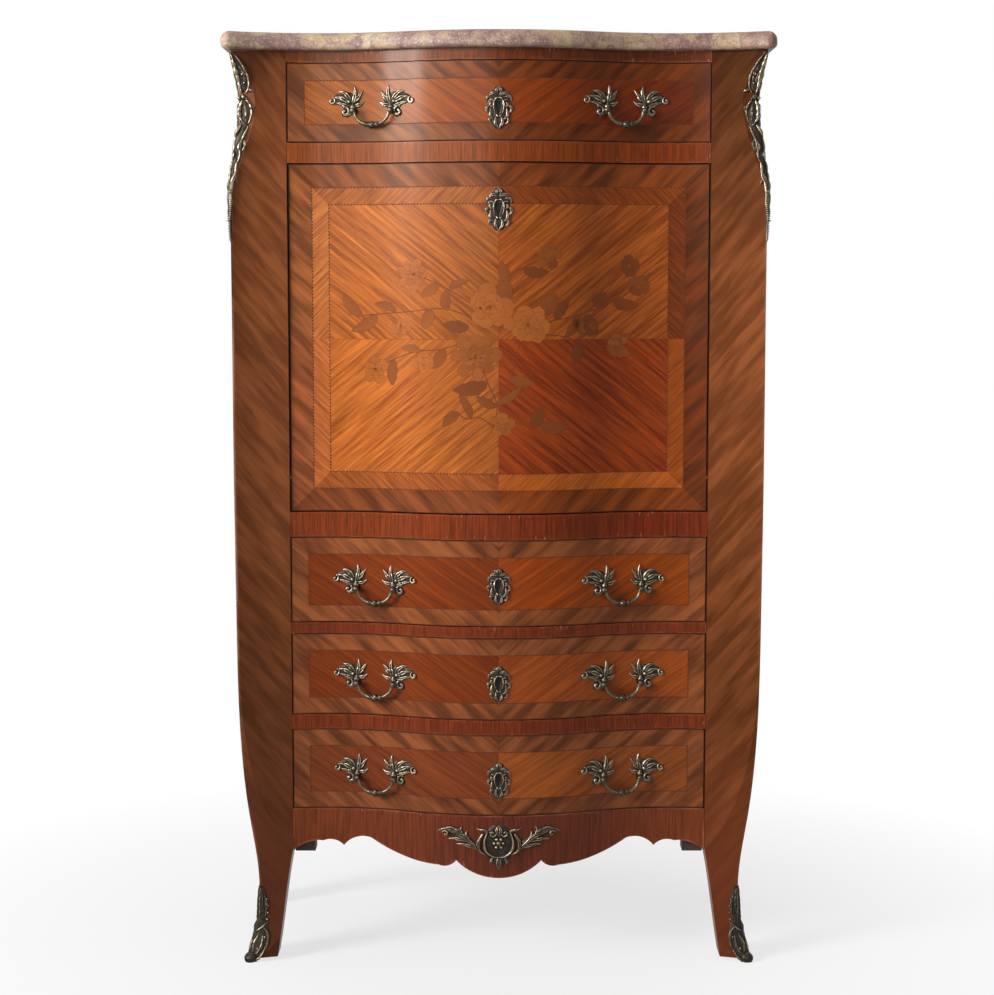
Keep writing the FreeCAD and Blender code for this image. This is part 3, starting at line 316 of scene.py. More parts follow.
def post_veneer(name, coat, gloss):
    """Slanted ribbons, darkened up each post as painted light and shade; coat and gloss say how much polish
    is left.
    """
    material, tree, shader = new_finish(name, **dict(POLISH, Coat_Weight=coat, Specular_IOR_Level=gloss))
    x, y, z = split(tree, own_place(tree))
    outward = apart(tree, x)
    facing = split(tree, put(tree, "ShaderNodeTexCoord").outputs["Normal"])
    backward = times(tree, y, span(tree, apart(tree, facing[0]), 0.75, 0.85))
    place = slanted(tree, plus(tree, outward, backward), z, x, POST_SLANT)
    wood = figured(tree, place, POST_PALE, POST_DARK, ribbon=0.011, share=0.75, wander=0.008, veins=0.05)
    plain = mix(tree, span(tree, z, KNEE_TOP, KNEE_FOOT, 0.0, 0.7), wood["Color"], POST_PLAIN)
    height = maths(tree, "DIVIDE", z, POST_HEIGHT)
    light_levels = [ramp(tree, height, [(row[0], grey(row[side])) for row in POST_LIGHT_LEVELS]) for side in (1, 2)]
    tone_and_light = toned(tree, plain, mix(tree, span(tree, x, LEFT_SIDE, RIGHT_SIDE), *light_levels))
    # Painted shade: darker along the inner edge, in the gap beside the fronts.
    edge_shaded = mix(tree, span(tree, outward, POST_INNER + 2 * SHADE_FADE, POST_INNER + SHADE_FADE), tone_and_light, PAINTED_SHADE)
    # Partly wear, partly painted highlight: the pale rubbed arris is strong on the left post and faint on the
    # right.
    wear_and_highlight_by_side = span(tree, x, RIGHT_SIDE, LEFT_SIDE, 0.15, 1.0)
    arris_wear_and_highlight = times(tree, span(tree, outward, ARRIS_START, ARRIS_FULL), wear_and_highlight_by_side)
    arris_wear_and_highlight = times(tree, arris_wear_and_highlight, span(tree, y, ARRIS_END, ARRIS_BACK))
    rubbed = mix(tree, arris_wear_and_highlight, edge_shaded, wear(tree, edge_shaded, ARRIS_WEAR, ARRIS_PATCHES, RUBBED_ARRIS_AND_HIGHLIGHT))
    backed = mix(tree, span(tree, facing[1], 0.5, 0.6), rubbed, STAINED_OAK)
    finish_wood(tree, shader, backed, wood["Fibre"], depth=0.00012)
    return material


LEFT_VENEER = post_veneer("left_post_veneer", coat=0.04, gloss=0.1)
RIGHT_VENEER = post_veneer("right_post_veneer", coat=0.0, gloss=0.03)
dress(LEFT_VENEER, "front_post_left", "side_panel_left", "rear_posts")
dress(RIGHT_VENEER, "front_post_right", "side_panel_right")


# Rails and apron: under the slab, above and below the fall, between the drawers, and the scalloped apron.
# Oak faced with tulipwood laid upright in short pieces; the lower edge of the apron has lost some chips.
# The rails are tenoned between the posts.
def tints(*shares):
    """Tones, each given by its shares of red, green and blue."""
    return tuple((*share, 1.0) for share in shares)


SLAB_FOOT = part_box("marble_top")[0].z
SLAB_SHADOW_TOP, SLAB_SHADOW_DEPTH = 0.001, 0.005
VENEER_PIECE, JOINT_LINE = 0.083, 0.006
RAIL_END = 0.25
SLIVERS = (380.0, 60.0)
EDGE_WEAR, CHIP_REACH, CHIP_PATCHES = 0.0035, 0.014, 9.0
CHIPPED = srgb(196, 140, 112)


def rail_veneer(name, pale, dark, patches, bare, tones_and_light):
    """Upright veneer toned at its left, middle and right, partly as painted light, with a painted shadow
    under the slab, rubbed edges and thin chips beside them.
    """
    material, tree, shader = new_finish(name, **POLISH)
    x, y, z = split(tree, own_place(tree))
    wood = figured(tree, join(tree, x, z, 0.0), pale, dark, ribbon=0.008, share=0.12, wander=0.006)
    place_in_piece = maths(tree, "FRACT", maths(tree, "DIVIDE", x, VENEER_PIECE))
    joint_line = span(tree, apart(tree, minus(tree, place_in_piece, 0.5)), 0.5 - JOINT_LINE, 0.5)
    jointed = mix(tree, times(tree, joint_line, 0.6), wood["Color"], dark)
    # Painted shadow: a dark strip just under the slab.
    slab_shadowed = mix(tree, span(tree, z, SLAB_FOOT - SLAB_SHADOW_DEPTH, SLAB_FOOT - SLAB_SHADOW_TOP), jointed, PAINTED_SHADE)
    # Toned from left to right; on the upper rails this is painted light.
    from_left = span(tree, x, -RAIL_END, RAIL_END)
    tone_and_light = toned(tree, slab_shadowed, ramp(tree, from_left, tuple(zip((0.0, 0.5, 1.0), tones_and_light))))
    worn = wear(tree, tone_and_light, EDGE_WEAR, patches, bare)
    sliver = span(tree, noise(tree, packed(tree, x, z, 0.0, SLIVERS), 1.0, 1.0), 0.68, 0.71)
    chipped = mix(tree, sliver, worn, wear(tree, worn, CHIP_REACH, CHIP_PATCHES, CHIPPED))
    finish_wood(tree, shader, chipped, wood["Fibre"], smooth=0.32, rough=0.46, depth=0.00012)
    return material


RUBBED, APRON_RUBBED = srgb(142, 70, 40), srgb(160, 100, 76)
# Painted light: the upper rails are lighter at the left and darker at the right.
RAIL_LIGHT_TONES = tints((1.06, 1.15, 1.12), (0.98, 0.94, 0.84), (0.82, 0.60, 0.36))
EVEN_TONES = tints((1.0, 1.0, 1.0)) * 3
APRON_TONES = tints((1.4, 1.55, 1.0), (1.0, 1.0, 1.0), (1.4, 1.55, 1.0))
RAILS = {"upper_rail": (srgb(142, 66, 21), srgb(88, 37, 10), 60.0, RUBBED, RAIL_LIGHT_TONES),
         "desk_rail": (srgb(130, 50, 16), srgb(76, 27, 7), 60.0, RUBBED, RAIL_LIGHT_TONES),
         "drawer_rails": (srgb(124, 48, 18), srgb(72, 26, 8), 60.0, RUBBED, EVEN_TONES),
         "frieze_rail": (srgb(112, 51, 18), srgb(68, 28, 9), 40.0, RUBBED, RAIL_LIGHT_TONES),
         "apron": (srgb(106, 46, 28), srgb(68, 27, 16), 34.0, APRON_RUBBED, APRON_TONES)}
for name, look in RAILS.items():
    dress(rail_veneer(f"{name}_veneer", *look), name)


# Slab: one piece of breccia marble, cream and straw fragments in a mauve-brown bed.
# Sawn to the serpentine plan, its edge rounded and polished.
# It lies loose on the case.
STONES, BENDS, CLOUDS, FLECKS = 42.0, 26.0, 70.0, 330.0
BEND_REACH = (0.035, 0.035, 0.02)
STONE_COLOURS = ((0.1, srgb(112, 82, 74)), (0.32, srgb(146, 114, 104)), (0.5, srgb(168, 138, 118)),
                 (0.64, srgb(178, 152, 112)), (0.85, srgb(190, 168, 142)))
SLAB_LEFT, SLAB_RIGHT = -0.15, 0.3
SLAB_LIGHT_TONES = tints((0.91, 0.96, 1.0), (0.83, 0.83, 0.83))


def breccia():
    """Broken stones in a darker bed; stones, bends, clouds and flecks are counted by the metre."""
    material, tree, shader = new_finish("breccia", Specular_IOR_Level=0.2)
    place = own_place(tree)
    bend = put(tree, "ShaderNodeTexNoise", {"Vector": place, "Scale": BENDS, "Detail": 4.0}).outputs["Color"]
    pushed = put(tree, "ShaderNodeVectorMath", {0: bend, 1: BEND_REACH, 2: place},
                 operation="MULTIPLY_ADD").outputs[0]
    stones = {"Vector": pushed, "Scale": STONES}
    stone = put(tree, "ShaderNodeTexVoronoi", stones).outputs["Color"]
    cloud = span(tree, noise(tree, pushed, CLOUDS, 6.0, 0.7), 0.3, 0.7)
    picked = put(tree, "ShaderNodeMix", {0: 0.5, 2: split(tree, stone)[0], 3: cloud}).outputs[0]
    body = ramp(tree, picked, STONE_COLOURS)
    edges = put(tree, "ShaderNodeTexVoronoi", stones, feature="DISTANCE_TO_EDGE").outputs["Distance"]
    veined = mix(tree, span(tree, edges, 0.0, 0.09, 0.45, 0.0), body, srgb(122, 90, 82))
    fleck = noise(tree, place, FLECKS)
    pale_flecks = mix(tree, span(tree, fleck, 0.58, 0.68, 0.0, 0.5), veined, srgb(206, 188, 168))
    flecked = mix(tree, span(tree, fleck, 0.42, 0.34, 0.0, 0.5), pale_flecks, srgb(124, 94, 88))
    # Painted shade: the slab darkens towards the right.
    across = span(tree, split(tree, place)[0], SLAB_LEFT, SLAB_RIGHT)
    tone_and_light = toned(tree, flecked, mix(tree, across, *SLAB_LIGHT_TONES))
    coloured(tree, shader, tone_and_light, span(tree, fleck, 0.3, 0.7, 0.42, 0.6))
    return material


dress(breccia(), "marble_top")


# Writing compartment: floor, ceiling and linings, a pigeonhole case and two small drawers with brass knobs.
# Oak faced with straight-grained tulipwood, wax polished.
# The case slides in from the front and is pinned through the floor.
def compartment_finish(name, knob_front=None):
    """Straight veneer; ahead of knob_front (metres) the piece is a brass knob."""
    material, tree, shader = new_finish(name, Coat_Weight=0.15, Coat_Roughness=0.3)
    x, y, z = split(tree, own_place(tree))
    wood = figured(tree, join(tree, z, x, y), srgb(186, 112, 60), srgb(132, 68, 32),
                   ribbon=0.016, share=0.08, wander=0.01)
    colour = wood["Color"]
    if knob_front is not None:
        turned = span(tree, y, knob_front + KNOB_EDGE, knob_front - KNOB_EDGE)
        colour = mix(tree, turned, colour, srgb(186, 148, 82))
        tree.links.new(turned, shader.inputs["Metallic"])
    finish_wood(tree, shader, colour, wood["Fibre"], smooth=0.34, rough=0.5, depth=0.00015)
    return material


KNOB_EDGE, KNOB_GAP = 0.0002, 0.001
small_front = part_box("pigeonhole_case")[0].y - KNOB_GAP
dress(compartment_finish("compartment_veneer"), "compartment_boards", "pigeonhole_case")
dress(compartment_finish("small_drawer_veneer", small_front), "small_drawer_left", "small_drawer_right")


# Drawers: four bowed fronts over oak boxes, the sides dovetailed into the front.
# Each front has a slanted kingwood border and two book-matched leaves of tulipwood that meet in the middle.
# The polish is thick, so the left of the upper front catches the light; the upper front's colours are also
# painted lighter at the left and darker at the right as painted light and sheen.
def lined(tree, distance, width=0.0007):
    """A mask of a fine line where the distance is zero."""
    return span(tree, apart(tree, distance), width, width * 0.4)


def passed(tree, distance, blur=0.0003):
    """A step from nought to one where the distance passes zero."""
    return span(tree, distance, -blur, blur)


def past_edge(tree, outward, half_width, height, half_height):
    """How far a point lies outside a rectangle, from its distances to the middle; below nought inside."""
    return larger(tree, minus(tree, outward, half_width), minus(tree, height, half_height))


def front_mask(tree):
    """One on the show side of a front, nought on its edges and back."""
    normal = put(tree, "ShaderNodeTexCoord").outputs["Normal"]
    return span(tree, split(tree, normal)[1], -0.4, -0.6)


DRAWER_BORDER, DRAWER_EDGE_SHADE = 0.0245, 0.0007
BORDER_SLANT, LEAF_SLANT = 42.0, 34.0
LEAF_INNER, LEAF_OUTER = 0.07, 0.25
BORDER_LEFT, BORDER_RIGHT = -0.18, 0.06
INLAY_BLUR = 0.0002
KINGWOOD = (srgb(148, 82, 42), srgb(78, 37, 17))
TULIPWOOD = (srgb(180, 87, 30), srgb(124, 53, 18))
INNER_OAK = (srgb(176, 132, 86), srgb(128, 90, 54))
# For each drawer: its leaves at the far left, left, right and far right, and its border at left and right. On
# the upper drawer the leaves are painted light and sheen, bright at the left and dark at the right; lower
# down they differ by their own tone. The borders darken to the right as painted light.
LEAF_TONES_AND_LIGHT = {1: tints((0.76, 1.02, 1.0), (0.60, 0.62, 0.40), (0.53, 0.41, 0.15), (0.30, 0.18, 0.05)),
                2: tints((0.46, 0.37, 0.26), (0.46, 0.37, 0.26), (0.74, 0.61, 0.23), (0.64, 0.59, 0.18)),
                3: tints((0.45, 0.39, 0.36), (0.45, 0.39, 0.36), (0.75, 0.79, 0.77), (0.72, 0.75, 0.70)),
                4: tints((0.44, 0.47, 0.82), (0.44, 0.47, 0.82), (0.77, 0.94, 1.0), (0.57, 0.72, 0.95))}
BORDER_LIGHT_TONES = {1: tints((0.80, 0.89, 0.98), (0.55, 0.37, 0.14)),
                2: tints((0.95, 0.98, 1.0), (0.92, 0.92, 0.9)),
                3: tints((0.91, 0.93, 1.0), (0.88, 0.89, 0.9)),
                4: tints((0.85, 0.88, 1.0), (0.82, 0.84, 0.9))}


def drawer_veneer(name, low, high, leaf_tones_and_light, border_light_tones):
    """A front between two corners: slanted border, dark seam, two leaves, and painted shade round the edge;
    tones go from left to right, partly as painted light.
    """
    material, tree, shader = new_finish(name, **POLISH)
    x, y, z = split(tree, own_place(tree))
    outward = apart(tree, x)
    height = apart(tree, minus(tree, z, (low.z + high.z) / 2))
    beyond = past_edge(tree, outward, high.x - DRAWER_BORDER, height, (high.z - low.z) / 2 - DRAWER_BORDER)
    border = figured(tree, slanted(tree, outward, z, low.z, BORDER_SLANT), *KINGWOOD,
                     ribbon=0.013, share=0.75, wander=0.008, veins=0.2)
    leaf = figured(tree, slanted(tree, outward, z, low.z, LEAF_SLANT), *TULIPWOOD,
                   ribbon=0.014, share=0.15, wander=0.012)
    left_leaf = mix(tree, span(tree, x, -LEAF_OUTER, -LEAF_INNER), *leaf_tones_and_light[:2])
    right_leaf = mix(tree, span(tree, x, LEAF_INNER, LEAF_OUTER), *leaf_tones_and_light[2:])
    leaf_tone_and_light = mix(tree, passed(tree, x), left_leaf, right_leaf)
    border_light = mix(tree, span(tree, x, BORDER_LEFT, BORDER_RIGHT), *border_light_tones)
    shown = mix(tree, passed(tree, beyond, INLAY_BLUR), toned(tree, leaf["Color"], leaf_tone_and_light),
                toned(tree, border["Color"], border_light))
    seam = larger(tree, lined(tree, beyond), times(tree, lined(tree, x), 0.5))
    seamed = mix(tree, times(tree, seam, 0.4), shown, srgb(58, 28, 14))
    # Painted shade in the gap round the front: a dark band at its very edge.
    unshaded = DRAWER_BORDER - DRAWER_EDGE_SHADE
    edge_shaded = mix(tree, span(tree, beyond, unshaded - SHADE_FADE, unshaded), seamed, PAINTED_SHADE)
    oak = figured(tree, join(tree, z, x, y), *INNER_OAK, ribbon=0.03, share=0.1, wander=0.05)
    faced = mix(tree, front_mask(tree), oak["Color"], edge_shaded)
    finish_wood(tree, shader, faced, leaf["Fibre"])
    return material


for number, leaf_tones_and_light in LEAF_TONES_AND_LIGHT.items():
    front = f"drawer_{number}_front"
    veneer = drawer_veneer(f"drawer_{number}_veneer", *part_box(front), leaf_tones_and_light, BORDER_LIGHT_TONES[number])
    dress(veneer, front)
    dress(BOX_OAK, f"drawer_{number}_box")


# Fall: the writing flap, a bowed panel on brass pins, framed by a wide kingwood band.
# Inside the band runs a lighter one between two strings, round four quarters whose grain meets in the middle.
# Each quarter comes from another sheet with a tone of its own; the colours also carry painted light and
# sheen, lighter at the left and darker at the right.
fall_low, fall_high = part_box("fall_panel")
FALL_MIDDLE, FALL_HALF = (fall_low.z + fall_high.z) / 2, (fall_high.z - fall_low.z) / 2
OUTER_BAND, INNER_BAND, FALL_EDGE_SHADE = 0.0335, 0.0580, 0.0008
QUARTER_SLANT, LIGHT_SLANT, DARK_SLANT = 39.0, -44.0, 44.0
FALLOFF_INNER, FALLOFF_OUTER = 0.03, 0.22
STRING_SHADE, STRING_GROOVE = 0.14, 0.0009
QUARTER_WOOD = (srgb(206, 114, 44), srgb(124, 57, 18))
LIGHT_WOOD = (srgb(204, 114, 46), srgb(130, 60, 20))
DARK_WOOD = (srgb(148, 82, 42), srgb(80, 40, 19))
INNER_WOOD = (srgb(168, 98, 52), srgb(112, 58, 28))
# For each quarter: lower left, lower right, upper left, upper right; partly each sheet's own tone, partly
# painted light and sheen from the left.
QUARTER_TONES_AND_LIGHT = tints((0.90, 0.92, 0.86), (0.50, 0.28, 0.20), (0.82, 0.84, 0.76), (0.64, 0.58, 0.48))
BAND_TONES_AND_LIGHT = tints((0.61, 0.58, 0.66), (0.80, 0.72, 0.50), (0.64, 0.68, 0.70), (0.42, 0.34, 0.28))
FRAME_TONES_AND_LIGHT = tints((0.83, 0.72, 0.66), (0.88, 0.62, 0.26), (0.81, 0.76, 0.66), (0.78, 0.60, 0.34))
UPRIGHT_LIGHT_TONES = tints((1.5, 1.62, 1.78), (0.69, 0.61, 0.46))


def quarter_tone(tree, right, above, tones_and_light):
    """A tone for each quarter of the panel."""
    return mix(tree, above, mix(tree, right, *tones_and_light[:2]), mix(tree, right, *tones_and_light[2:]))


def fall_veneer():
    """Four quarters, a light band and a dark frame, each toned by its quarter and partly by painted light
    from the left, with painted shade at the edge; the inner side is plain.
    """
    material, tree, shader = new_finish("fall_veneer", **POLISH)
    x, y, z = split(tree, own_place(tree))
    outward = apart(tree, x)
    lift = minus(tree, z, FALL_MIDDLE)
    height = apart(tree, lift)
    edge = past_edge(tree, outward, fall_high.x, height, FALL_HALF)
    past_inner = plus(tree, edge, INNER_BAND)
    past_outer = plus(tree, edge, OUTER_BAND)
    right, above = passed(tree, x), passed(tree, lift)
    sheet = plus(tree, right, times(tree, above, 2.0))
    quarters = figured(tree, slanted(tree, outward, height, sheet, QUARTER_SLANT), *QUARTER_WOOD,
                       ribbon=0.013, share=0.1, wander=0.006)
    light_band = figured(tree, slanted(tree, outward, height, sheet, LIGHT_SLANT), *LIGHT_WOOD,
                         ribbon=0.006, share=0.2, wander=0.004)
    dark_band = figured(tree, slanted(tree, outward, z, 0.0, DARK_SLANT), *DARK_WOOD,
                        ribbon=0.015, share=0.75, wander=0.008, veins=0.2)
    # Painted light: within each half the quarters grow darker towards the right.
    left_falloff = span(tree, x, -FALLOFF_OUTER, -FALLOFF_INNER, 1.08, 0.79)
    right_falloff = span(tree, x, FALLOFF_INNER, FALLOFF_OUTER, 1.05, 0.92)
    light_falloff = put(tree, "ShaderNodeMix", {0: right, 2: left_falloff, 3: right_falloff}).outputs[0]
    sheets_and_light = toned(tree, quarters["Color"], quarter_tone(tree, right, above, QUARTER_TONES_AND_LIGHT))
    field = toned(tree, sheets_and_light, join(tree, light_falloff, light_falloff, light_falloff))
    upright = passed(tree, minus(tree, minus(tree, outward, height), fall_high.x - FALL_HALF))
    # Painted light and sheen: the upright runs of the band are bright at the left and dark at the right.
    upright_light = mix(tree, upright, grey(1.0), mix(tree, right, *UPRIGHT_LIGHT_TONES))
    banded = toned(tree, toned(tree, light_band["Color"], upright_light), quarter_tone(tree, right, above, BAND_TONES_AND_LIGHT))
    outer = toned(tree, toned(tree, dark_band["Color"], upright_light), quarter_tone(tree, right, above, FRAME_TONES_AND_LIGHT))
    framed = mix(tree, passed(tree, past_inner, INLAY_BLUR), field, banded)
    shown = mix(tree, passed(tree, past_outer, INLAY_BLUR), framed, outer)
    string = larger(tree, lined(tree, past_inner, STRING_GROOVE), lined(tree, past_outer, STRING_GROOVE))
    cross = times(tree, larger(tree, lined(tree, x), lined(tree, lift)),
                  span(tree, past_inner, 0.0, -0.0004, 0.0, 0.45))
    seamed = mix(tree, larger(tree, times(tree, string, STRING_SHADE), cross), shown, srgb(66, 32, 15))
    inner = figured(tree, join(tree, z, x, y), *INNER_WOOD, ribbon=0.02, share=0.1, wander=0.02)
    # Painted shade in the gap round the fall: a dark band at its very edge.
    edge_shaded = mix(tree, span(tree, edge, -FALL_EDGE_SHADE - SHADE_FADE, -FALL_EDGE_SHADE), seamed, PAINTED_SHADE)
    faced = mix(tree, front_mask(tree), inner["Color"], edge_shaded)
    finish_wood(tree, shader, faced, quarters["Fibre"])
    return material


dress(fall_veneer(), "fall_panel")


# Stringing: lines of small dark blocks let into the fall's light band and the drawers' borders.
# Stained holly and ebony, sawn thin and glued into a scratched groove.
# Each line follows the bow of its front.
SIDE_MARGIN, RAY_START = 0.0004, 0.1
BACKWARDS = Vector((0, 1, 0))


def front_line(name, z, count=241):
    """The front of a node at one height: x and y from side to side, found by looking at it from the front."""
    low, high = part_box(name)
    tree = BVHTree.FromObject(nodes[name], bpy.context.evaluated_depsgraph_get())
    wide = np.linspace(low.x + SIDE_MARGIN, high.x - SIDE_MARGIN, count)
    seen = [tree.ray_cast(Vector((x, low.y - RAY_START, z)), BACKWARDS)[0] for x in wide]
    return wide, np.array([hit.y for hit in seen])


def string_of_blocks_tree():
    """Blocks along a line, square to it and to the front."""
    tree = bpy.data.node_groups.new("string_of_blocks", "GeometryNodeTree")
    given, out = group_sockets(
        tree,
        (("Line", "Geometry"), ("Pitch", "Float"), ("Block", "Vector"), ("Finish", "Material")),
        (("Blocks", "Geometry"),))
    curve = put(tree, "GeometryNodeMeshToCurve", {"Mesh": given["Line"]}).outputs[0]
    spaced = put(tree, "GeometryNodeResampleCurve", {"Curve": curve, "Length": given["Pitch"]}, mode="LENGTH")
    along = put(tree, "GeometryNodeInputTangent").outputs[0]
    turned = put(tree, "FunctionNodeAlignRotationToVector", {"Vector": along}, axis="X").outputs[0]
    faced = put(tree, "FunctionNodeAlignRotationToVector", {"Rotation": turned, "Vector": (0.0, -1.0, 0.0)},
                axis="Y", pivot_axis="X").outputs[0]
    block = put(tree, "GeometryNodeMeshCube", {"Size": given["Block"]}).outputs["Mesh"]
    placed = put(tree, "GeometryNodeInstanceOnPoints",
                 {"Points": spaced.outputs[0], "Instance": block, "Rotation": faced}).outputs[0]
    real = put(tree, "GeometryNodeRealizeInstances", {"Geometry": placed}).outputs[0]
    finished = put(tree, "GeometryNodeSetMaterial", {"Geometry": real, "Material": given["Finish"]})
    tree.links.new(finished.outputs[0], out.inputs["Blocks"])
    return tree


def new_piece(name, points, faces, edges=()):
    """A mesh object at the origin, with its place in its points."""
    mesh = bpy.data.meshes.new(name)
    mesh.from_pydata(points, edges, faces)
    piece = bpy.data.objects.new(name, mesh)
    bpy.context.scene.collection.objects.link(piece)
    return piece


def grow(piece, tree, **values):
    """Runs a node tree on a piece and keeps the result as its plain mesh."""
    modifier = piece.modifiers.new(tree.name, "NODES")
    modifier.node_group = tree
    named = {item.name: item.identifier for item in tree.interface.items_tree if item.in_out == "INPUT"}
    for key, value in values.items():
        modifier[named[key]] = value
    bpy.context.view_layer.update()
    mesh = bpy.data.meshes.new_from_object(piece.evaluated_get(bpy.context.evaluated_depsgraph_get()))
    piece.modifiers.clear()
    piece.data = mesh
    return piece


def ebony():
    material, tree, shader = new_finish("ebony", Roughness=0.6, Specular_IOR_Level=0.08)
    speck = noise(tree, own_place(tree), 700.0, 2.0)
    tree.links.new(mix(tree, speck, srgb(54, 25, 12), srgb(98, 52, 27)), shader.inputs["Base Color"])
    return material


STRING_TREE = string_of_blocks_tree()
EBONY = ebony()
STRING_STEP, STRING_PITCH, STRING_BLOCK = 0.005, 0.0048, (0.0025, 0.0003, 0.0018)


def string_loops(line, half_width, middle, half_height, *insets):
    """Rectangles set in from the edges of a front, bent to it: points and edges of all loops."""
    points, edges = [], []
    for inset in insets:
        wide, high = half_width - inset, half_height - inset
        across = np.linspace(-wide, wide, int(2 * wide / STRING_STEP))
        upright = np.linspace(-high, high, int(2 * high / STRING_STEP))[1:-1]
        loop = [(x, -high) for x in across] + [(wide, z) for z in upright]
        loop += [(x, high) for x in across[::-1]] + [(-wide, z) for z in upright[::-1]]
        first = len(points)
        points += [(x, float(np.interp(x, *line)), middle + z) for x, z in loop]
        edges += [(first + i, first + (i + 1) % len(loop)) for i in range(len(loop))]
    return points, edges


fall_line = front_line("fall_panel", FALL_MIDDLE)
strings = {"fall": string_loops(fall_line, fall_high.x, FALL_MIDDLE, FALL_HALF, OUTER_BAND, INNER_BAND)}
drawer_lines = {}
for number in LEAF_TONES_AND_LIGHT:
    low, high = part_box(f"drawer_{number}_front")
    line = front_line(f"drawer_{number}_front", high.z - DRAWER_BORDER / 2)
    strings[f"drawer_{number}"] = string_loops(line, high.x, (low.z + high.z) / 2, (high.z - low.z) / 2,
                                               DRAWER_BORDER)
    drawer_lines[number] = line
for body, (points, edges) in strings.items():
    string = grow(new_piece(f"{body}_stringing", points, (), edges), STRING_TREE,
                  Pitch=STRING_PITCH, Block=STRING_BLOCK, Finish=EBONY)
    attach(string, body)


# Floral marquetry: a loose spray of roses, small flowers, buds and leaves over the four quarters.
# Stained and sand-scorched fruitwoods, sawn out and let into the ground with a dark saw line round each.
# Stems rise from the bottom middle and spread to both sides.
class Spray:
    """Collects the inlaid pieces as points on the fall's face, in metres from its middle, still flat."""

    def __init__(self):
        self.places, self.faces, self.dye, self.scorch = [], [], [], []

    def patch(self, rows, dye, scorch):
        """A strip of rows of (x, z, lift) points."""
        first, wide = len(self.places), len(rows[0])
        for row, row_scorch in zip(rows, scorch):
            self.places += row
            self.dye += [dye] * wide
            self.scorch += list(row_scorch)
        for i in range(len(rows) - 1):
            for j in range(wide - 1):
                corner = first + i * wide + j
                self.faces.append((corner, corner + 1, corner + wide + 1, corner + wide))

    def blade(self, root, heading, reach, breadth, dye, lift, tip=0.9, teeth=0, bend=0.0, veined=True):
        """A leaf or petal: a strip that swells from its root and ends in a point or a round tip."""
        widest = SWELL_AT ** SWELL_RISE * SWELL_LEFT ** tip
        for spare, sunk, stain in ((SAW_LINE, SAW_LIFT, 0.0), (0.0, 0.0, dye)):
            rows, scorch = [], []
            for share in np.linspace(0.0, 1.0, BLADE_ROWS):
                swell = (share ** SWELL_RISE * (SWELL_END - share) ** tip) / widest
                if teeth:
                    swell *= 1.0 - TOOTH_SHARE * ((share * teeth) % 1.0)
                turn = math.radians(heading + bend * share)
                x = root[0] + reach * share * math.cos(turn)
                z = root[1] + reach * share * math.sin(turn)
                half = breadth / 2 * swell + spare
                side = (-math.sin(turn), math.cos(turn))
                rows.append([(x + side[0] * half * s, z + side[1] * half * s, lift - sunk) for s in ACROSS])
                burn = SCORCH_ROOT * math.exp(-share / SCORCH_REACH)
                scorch.append([burn + (SCORCH_SIDE if veined and s < 0 else 0.0) for s in ACROSS])
            self.patch(rows, stain, scorch)

    def stem(self, points, breadth=0.0016):
        path = smooth_path(points, 28)
        ahead = np.gradient(path, axis=0)
        ahead /= np.linalg.norm(ahead, axis=1)[:, None]
        rows = [[(p[0] - a[1] * breadth / 2 * s, p[1] + a[0] * breadth / 2 * s, STEM_LIFT) for s in (-1, 1)]
                for p, a in zip(path, ahead)]
        self.patch(rows, STEM_DYE, [[0.0, 0.0]] * len(rows))

    def flower(self, centre, radius, petals, dye, rings=2, turn=0.0, tip=0.38, teeth=0):
        """Rings of petals from the outside in, each cut a little unlike the next, and a heart."""
        for ring in range(rings):
            scale = 1.0 - ring / (rings + HEART_ROOM)
            for petal in range(petals):
                askew, longer, wider, paler = UNEVEN.uniform(-1.0, 1.0, 4)
                heading = turn + 360.0 * (petal + 0.5 * (ring % 2) + PETAL_ASKEW * askew) / petals
                reach = radius * scale * (1.0 + PETAL_LONGER * longer)
                breadth = radius * scale * (1.0 + PETAL_WIDER * wider) * PETAL_OVERLAP / petals
                self.blade(centre, heading, reach, breadth, dye + PETAL_PALER * paler,
                           FLOWER_LIFT + ring * LAYER, tip, teeth, veined=False)
        heart = radius * HEART_SHARE
        for heading in range(0, 360, 60):
            self.blade(centre, heading, heart, heart, dye + HEART_PALER, FLOWER_LIFT + rings * LAYER,
                       HEART_TIP, veined=False)


def smooth_path(points, count):
    """Points on a smooth line through the given ones."""
    points = np.array(points, float)
    padded = np.vstack([2 * points[0] - points[1], points, 2 * points[-1] - points[-2]])
    spots = np.linspace(0, len(points) - 1 - 1e-9, count)
    whole = spots.astype(int)
    part = (spots - whole)[:, None]
    a, b, c, d = (padded[whole + shift] for shift in range(4))
    return 0.5 * (2 * b + (c - a) * part + (2 * a - 5 * b + 4 * c - d) * part ** 2
                  + (3 * b - a - 3 * c + d) * part ** 3)


BLADE_ROWS, ACROSS = 13, (-1.0, -0.5, 0.0, 0.5, 1.0)
SWELL_AT, SWELL_LEFT, SWELL_END, SWELL_RISE, TOOTH_SHARE = 0.45, 0.57, 1.02, 0.7, 0.22
SCORCH_ROOT, SCORCH_REACH, SCORCH_SIDE = 0.75, 0.22, 0.35
PETAL_ASKEW, PETAL_LONGER, PETAL_WIDER, PETAL_PALER, PETAL_OVERLAP = 0.2, 0.2, 0.22, 0.07, 4.0
HEART_SHARE, HEART_PALER, HEART_TIP, HEART_ROOM = 0.2, 0.08, 0.4, 0.6
LEAF_ASKEW, LEAF_LONGER, LEAF_WIDER, LEAF_BEND = 14.0, 0.25, 0.35, 30.0
SAW_LINE, SAW_LIFT, STEM_DYE = 0.0005, 0.00003, 0.16
STEM_LIFT, LEAF_LIFT, FLOWER_LIFT, LAYER = 0.00006, 0.00012, 0.00018, 0.00005
UNEVEN = np.random.default_rng(7)
spray = Spray()
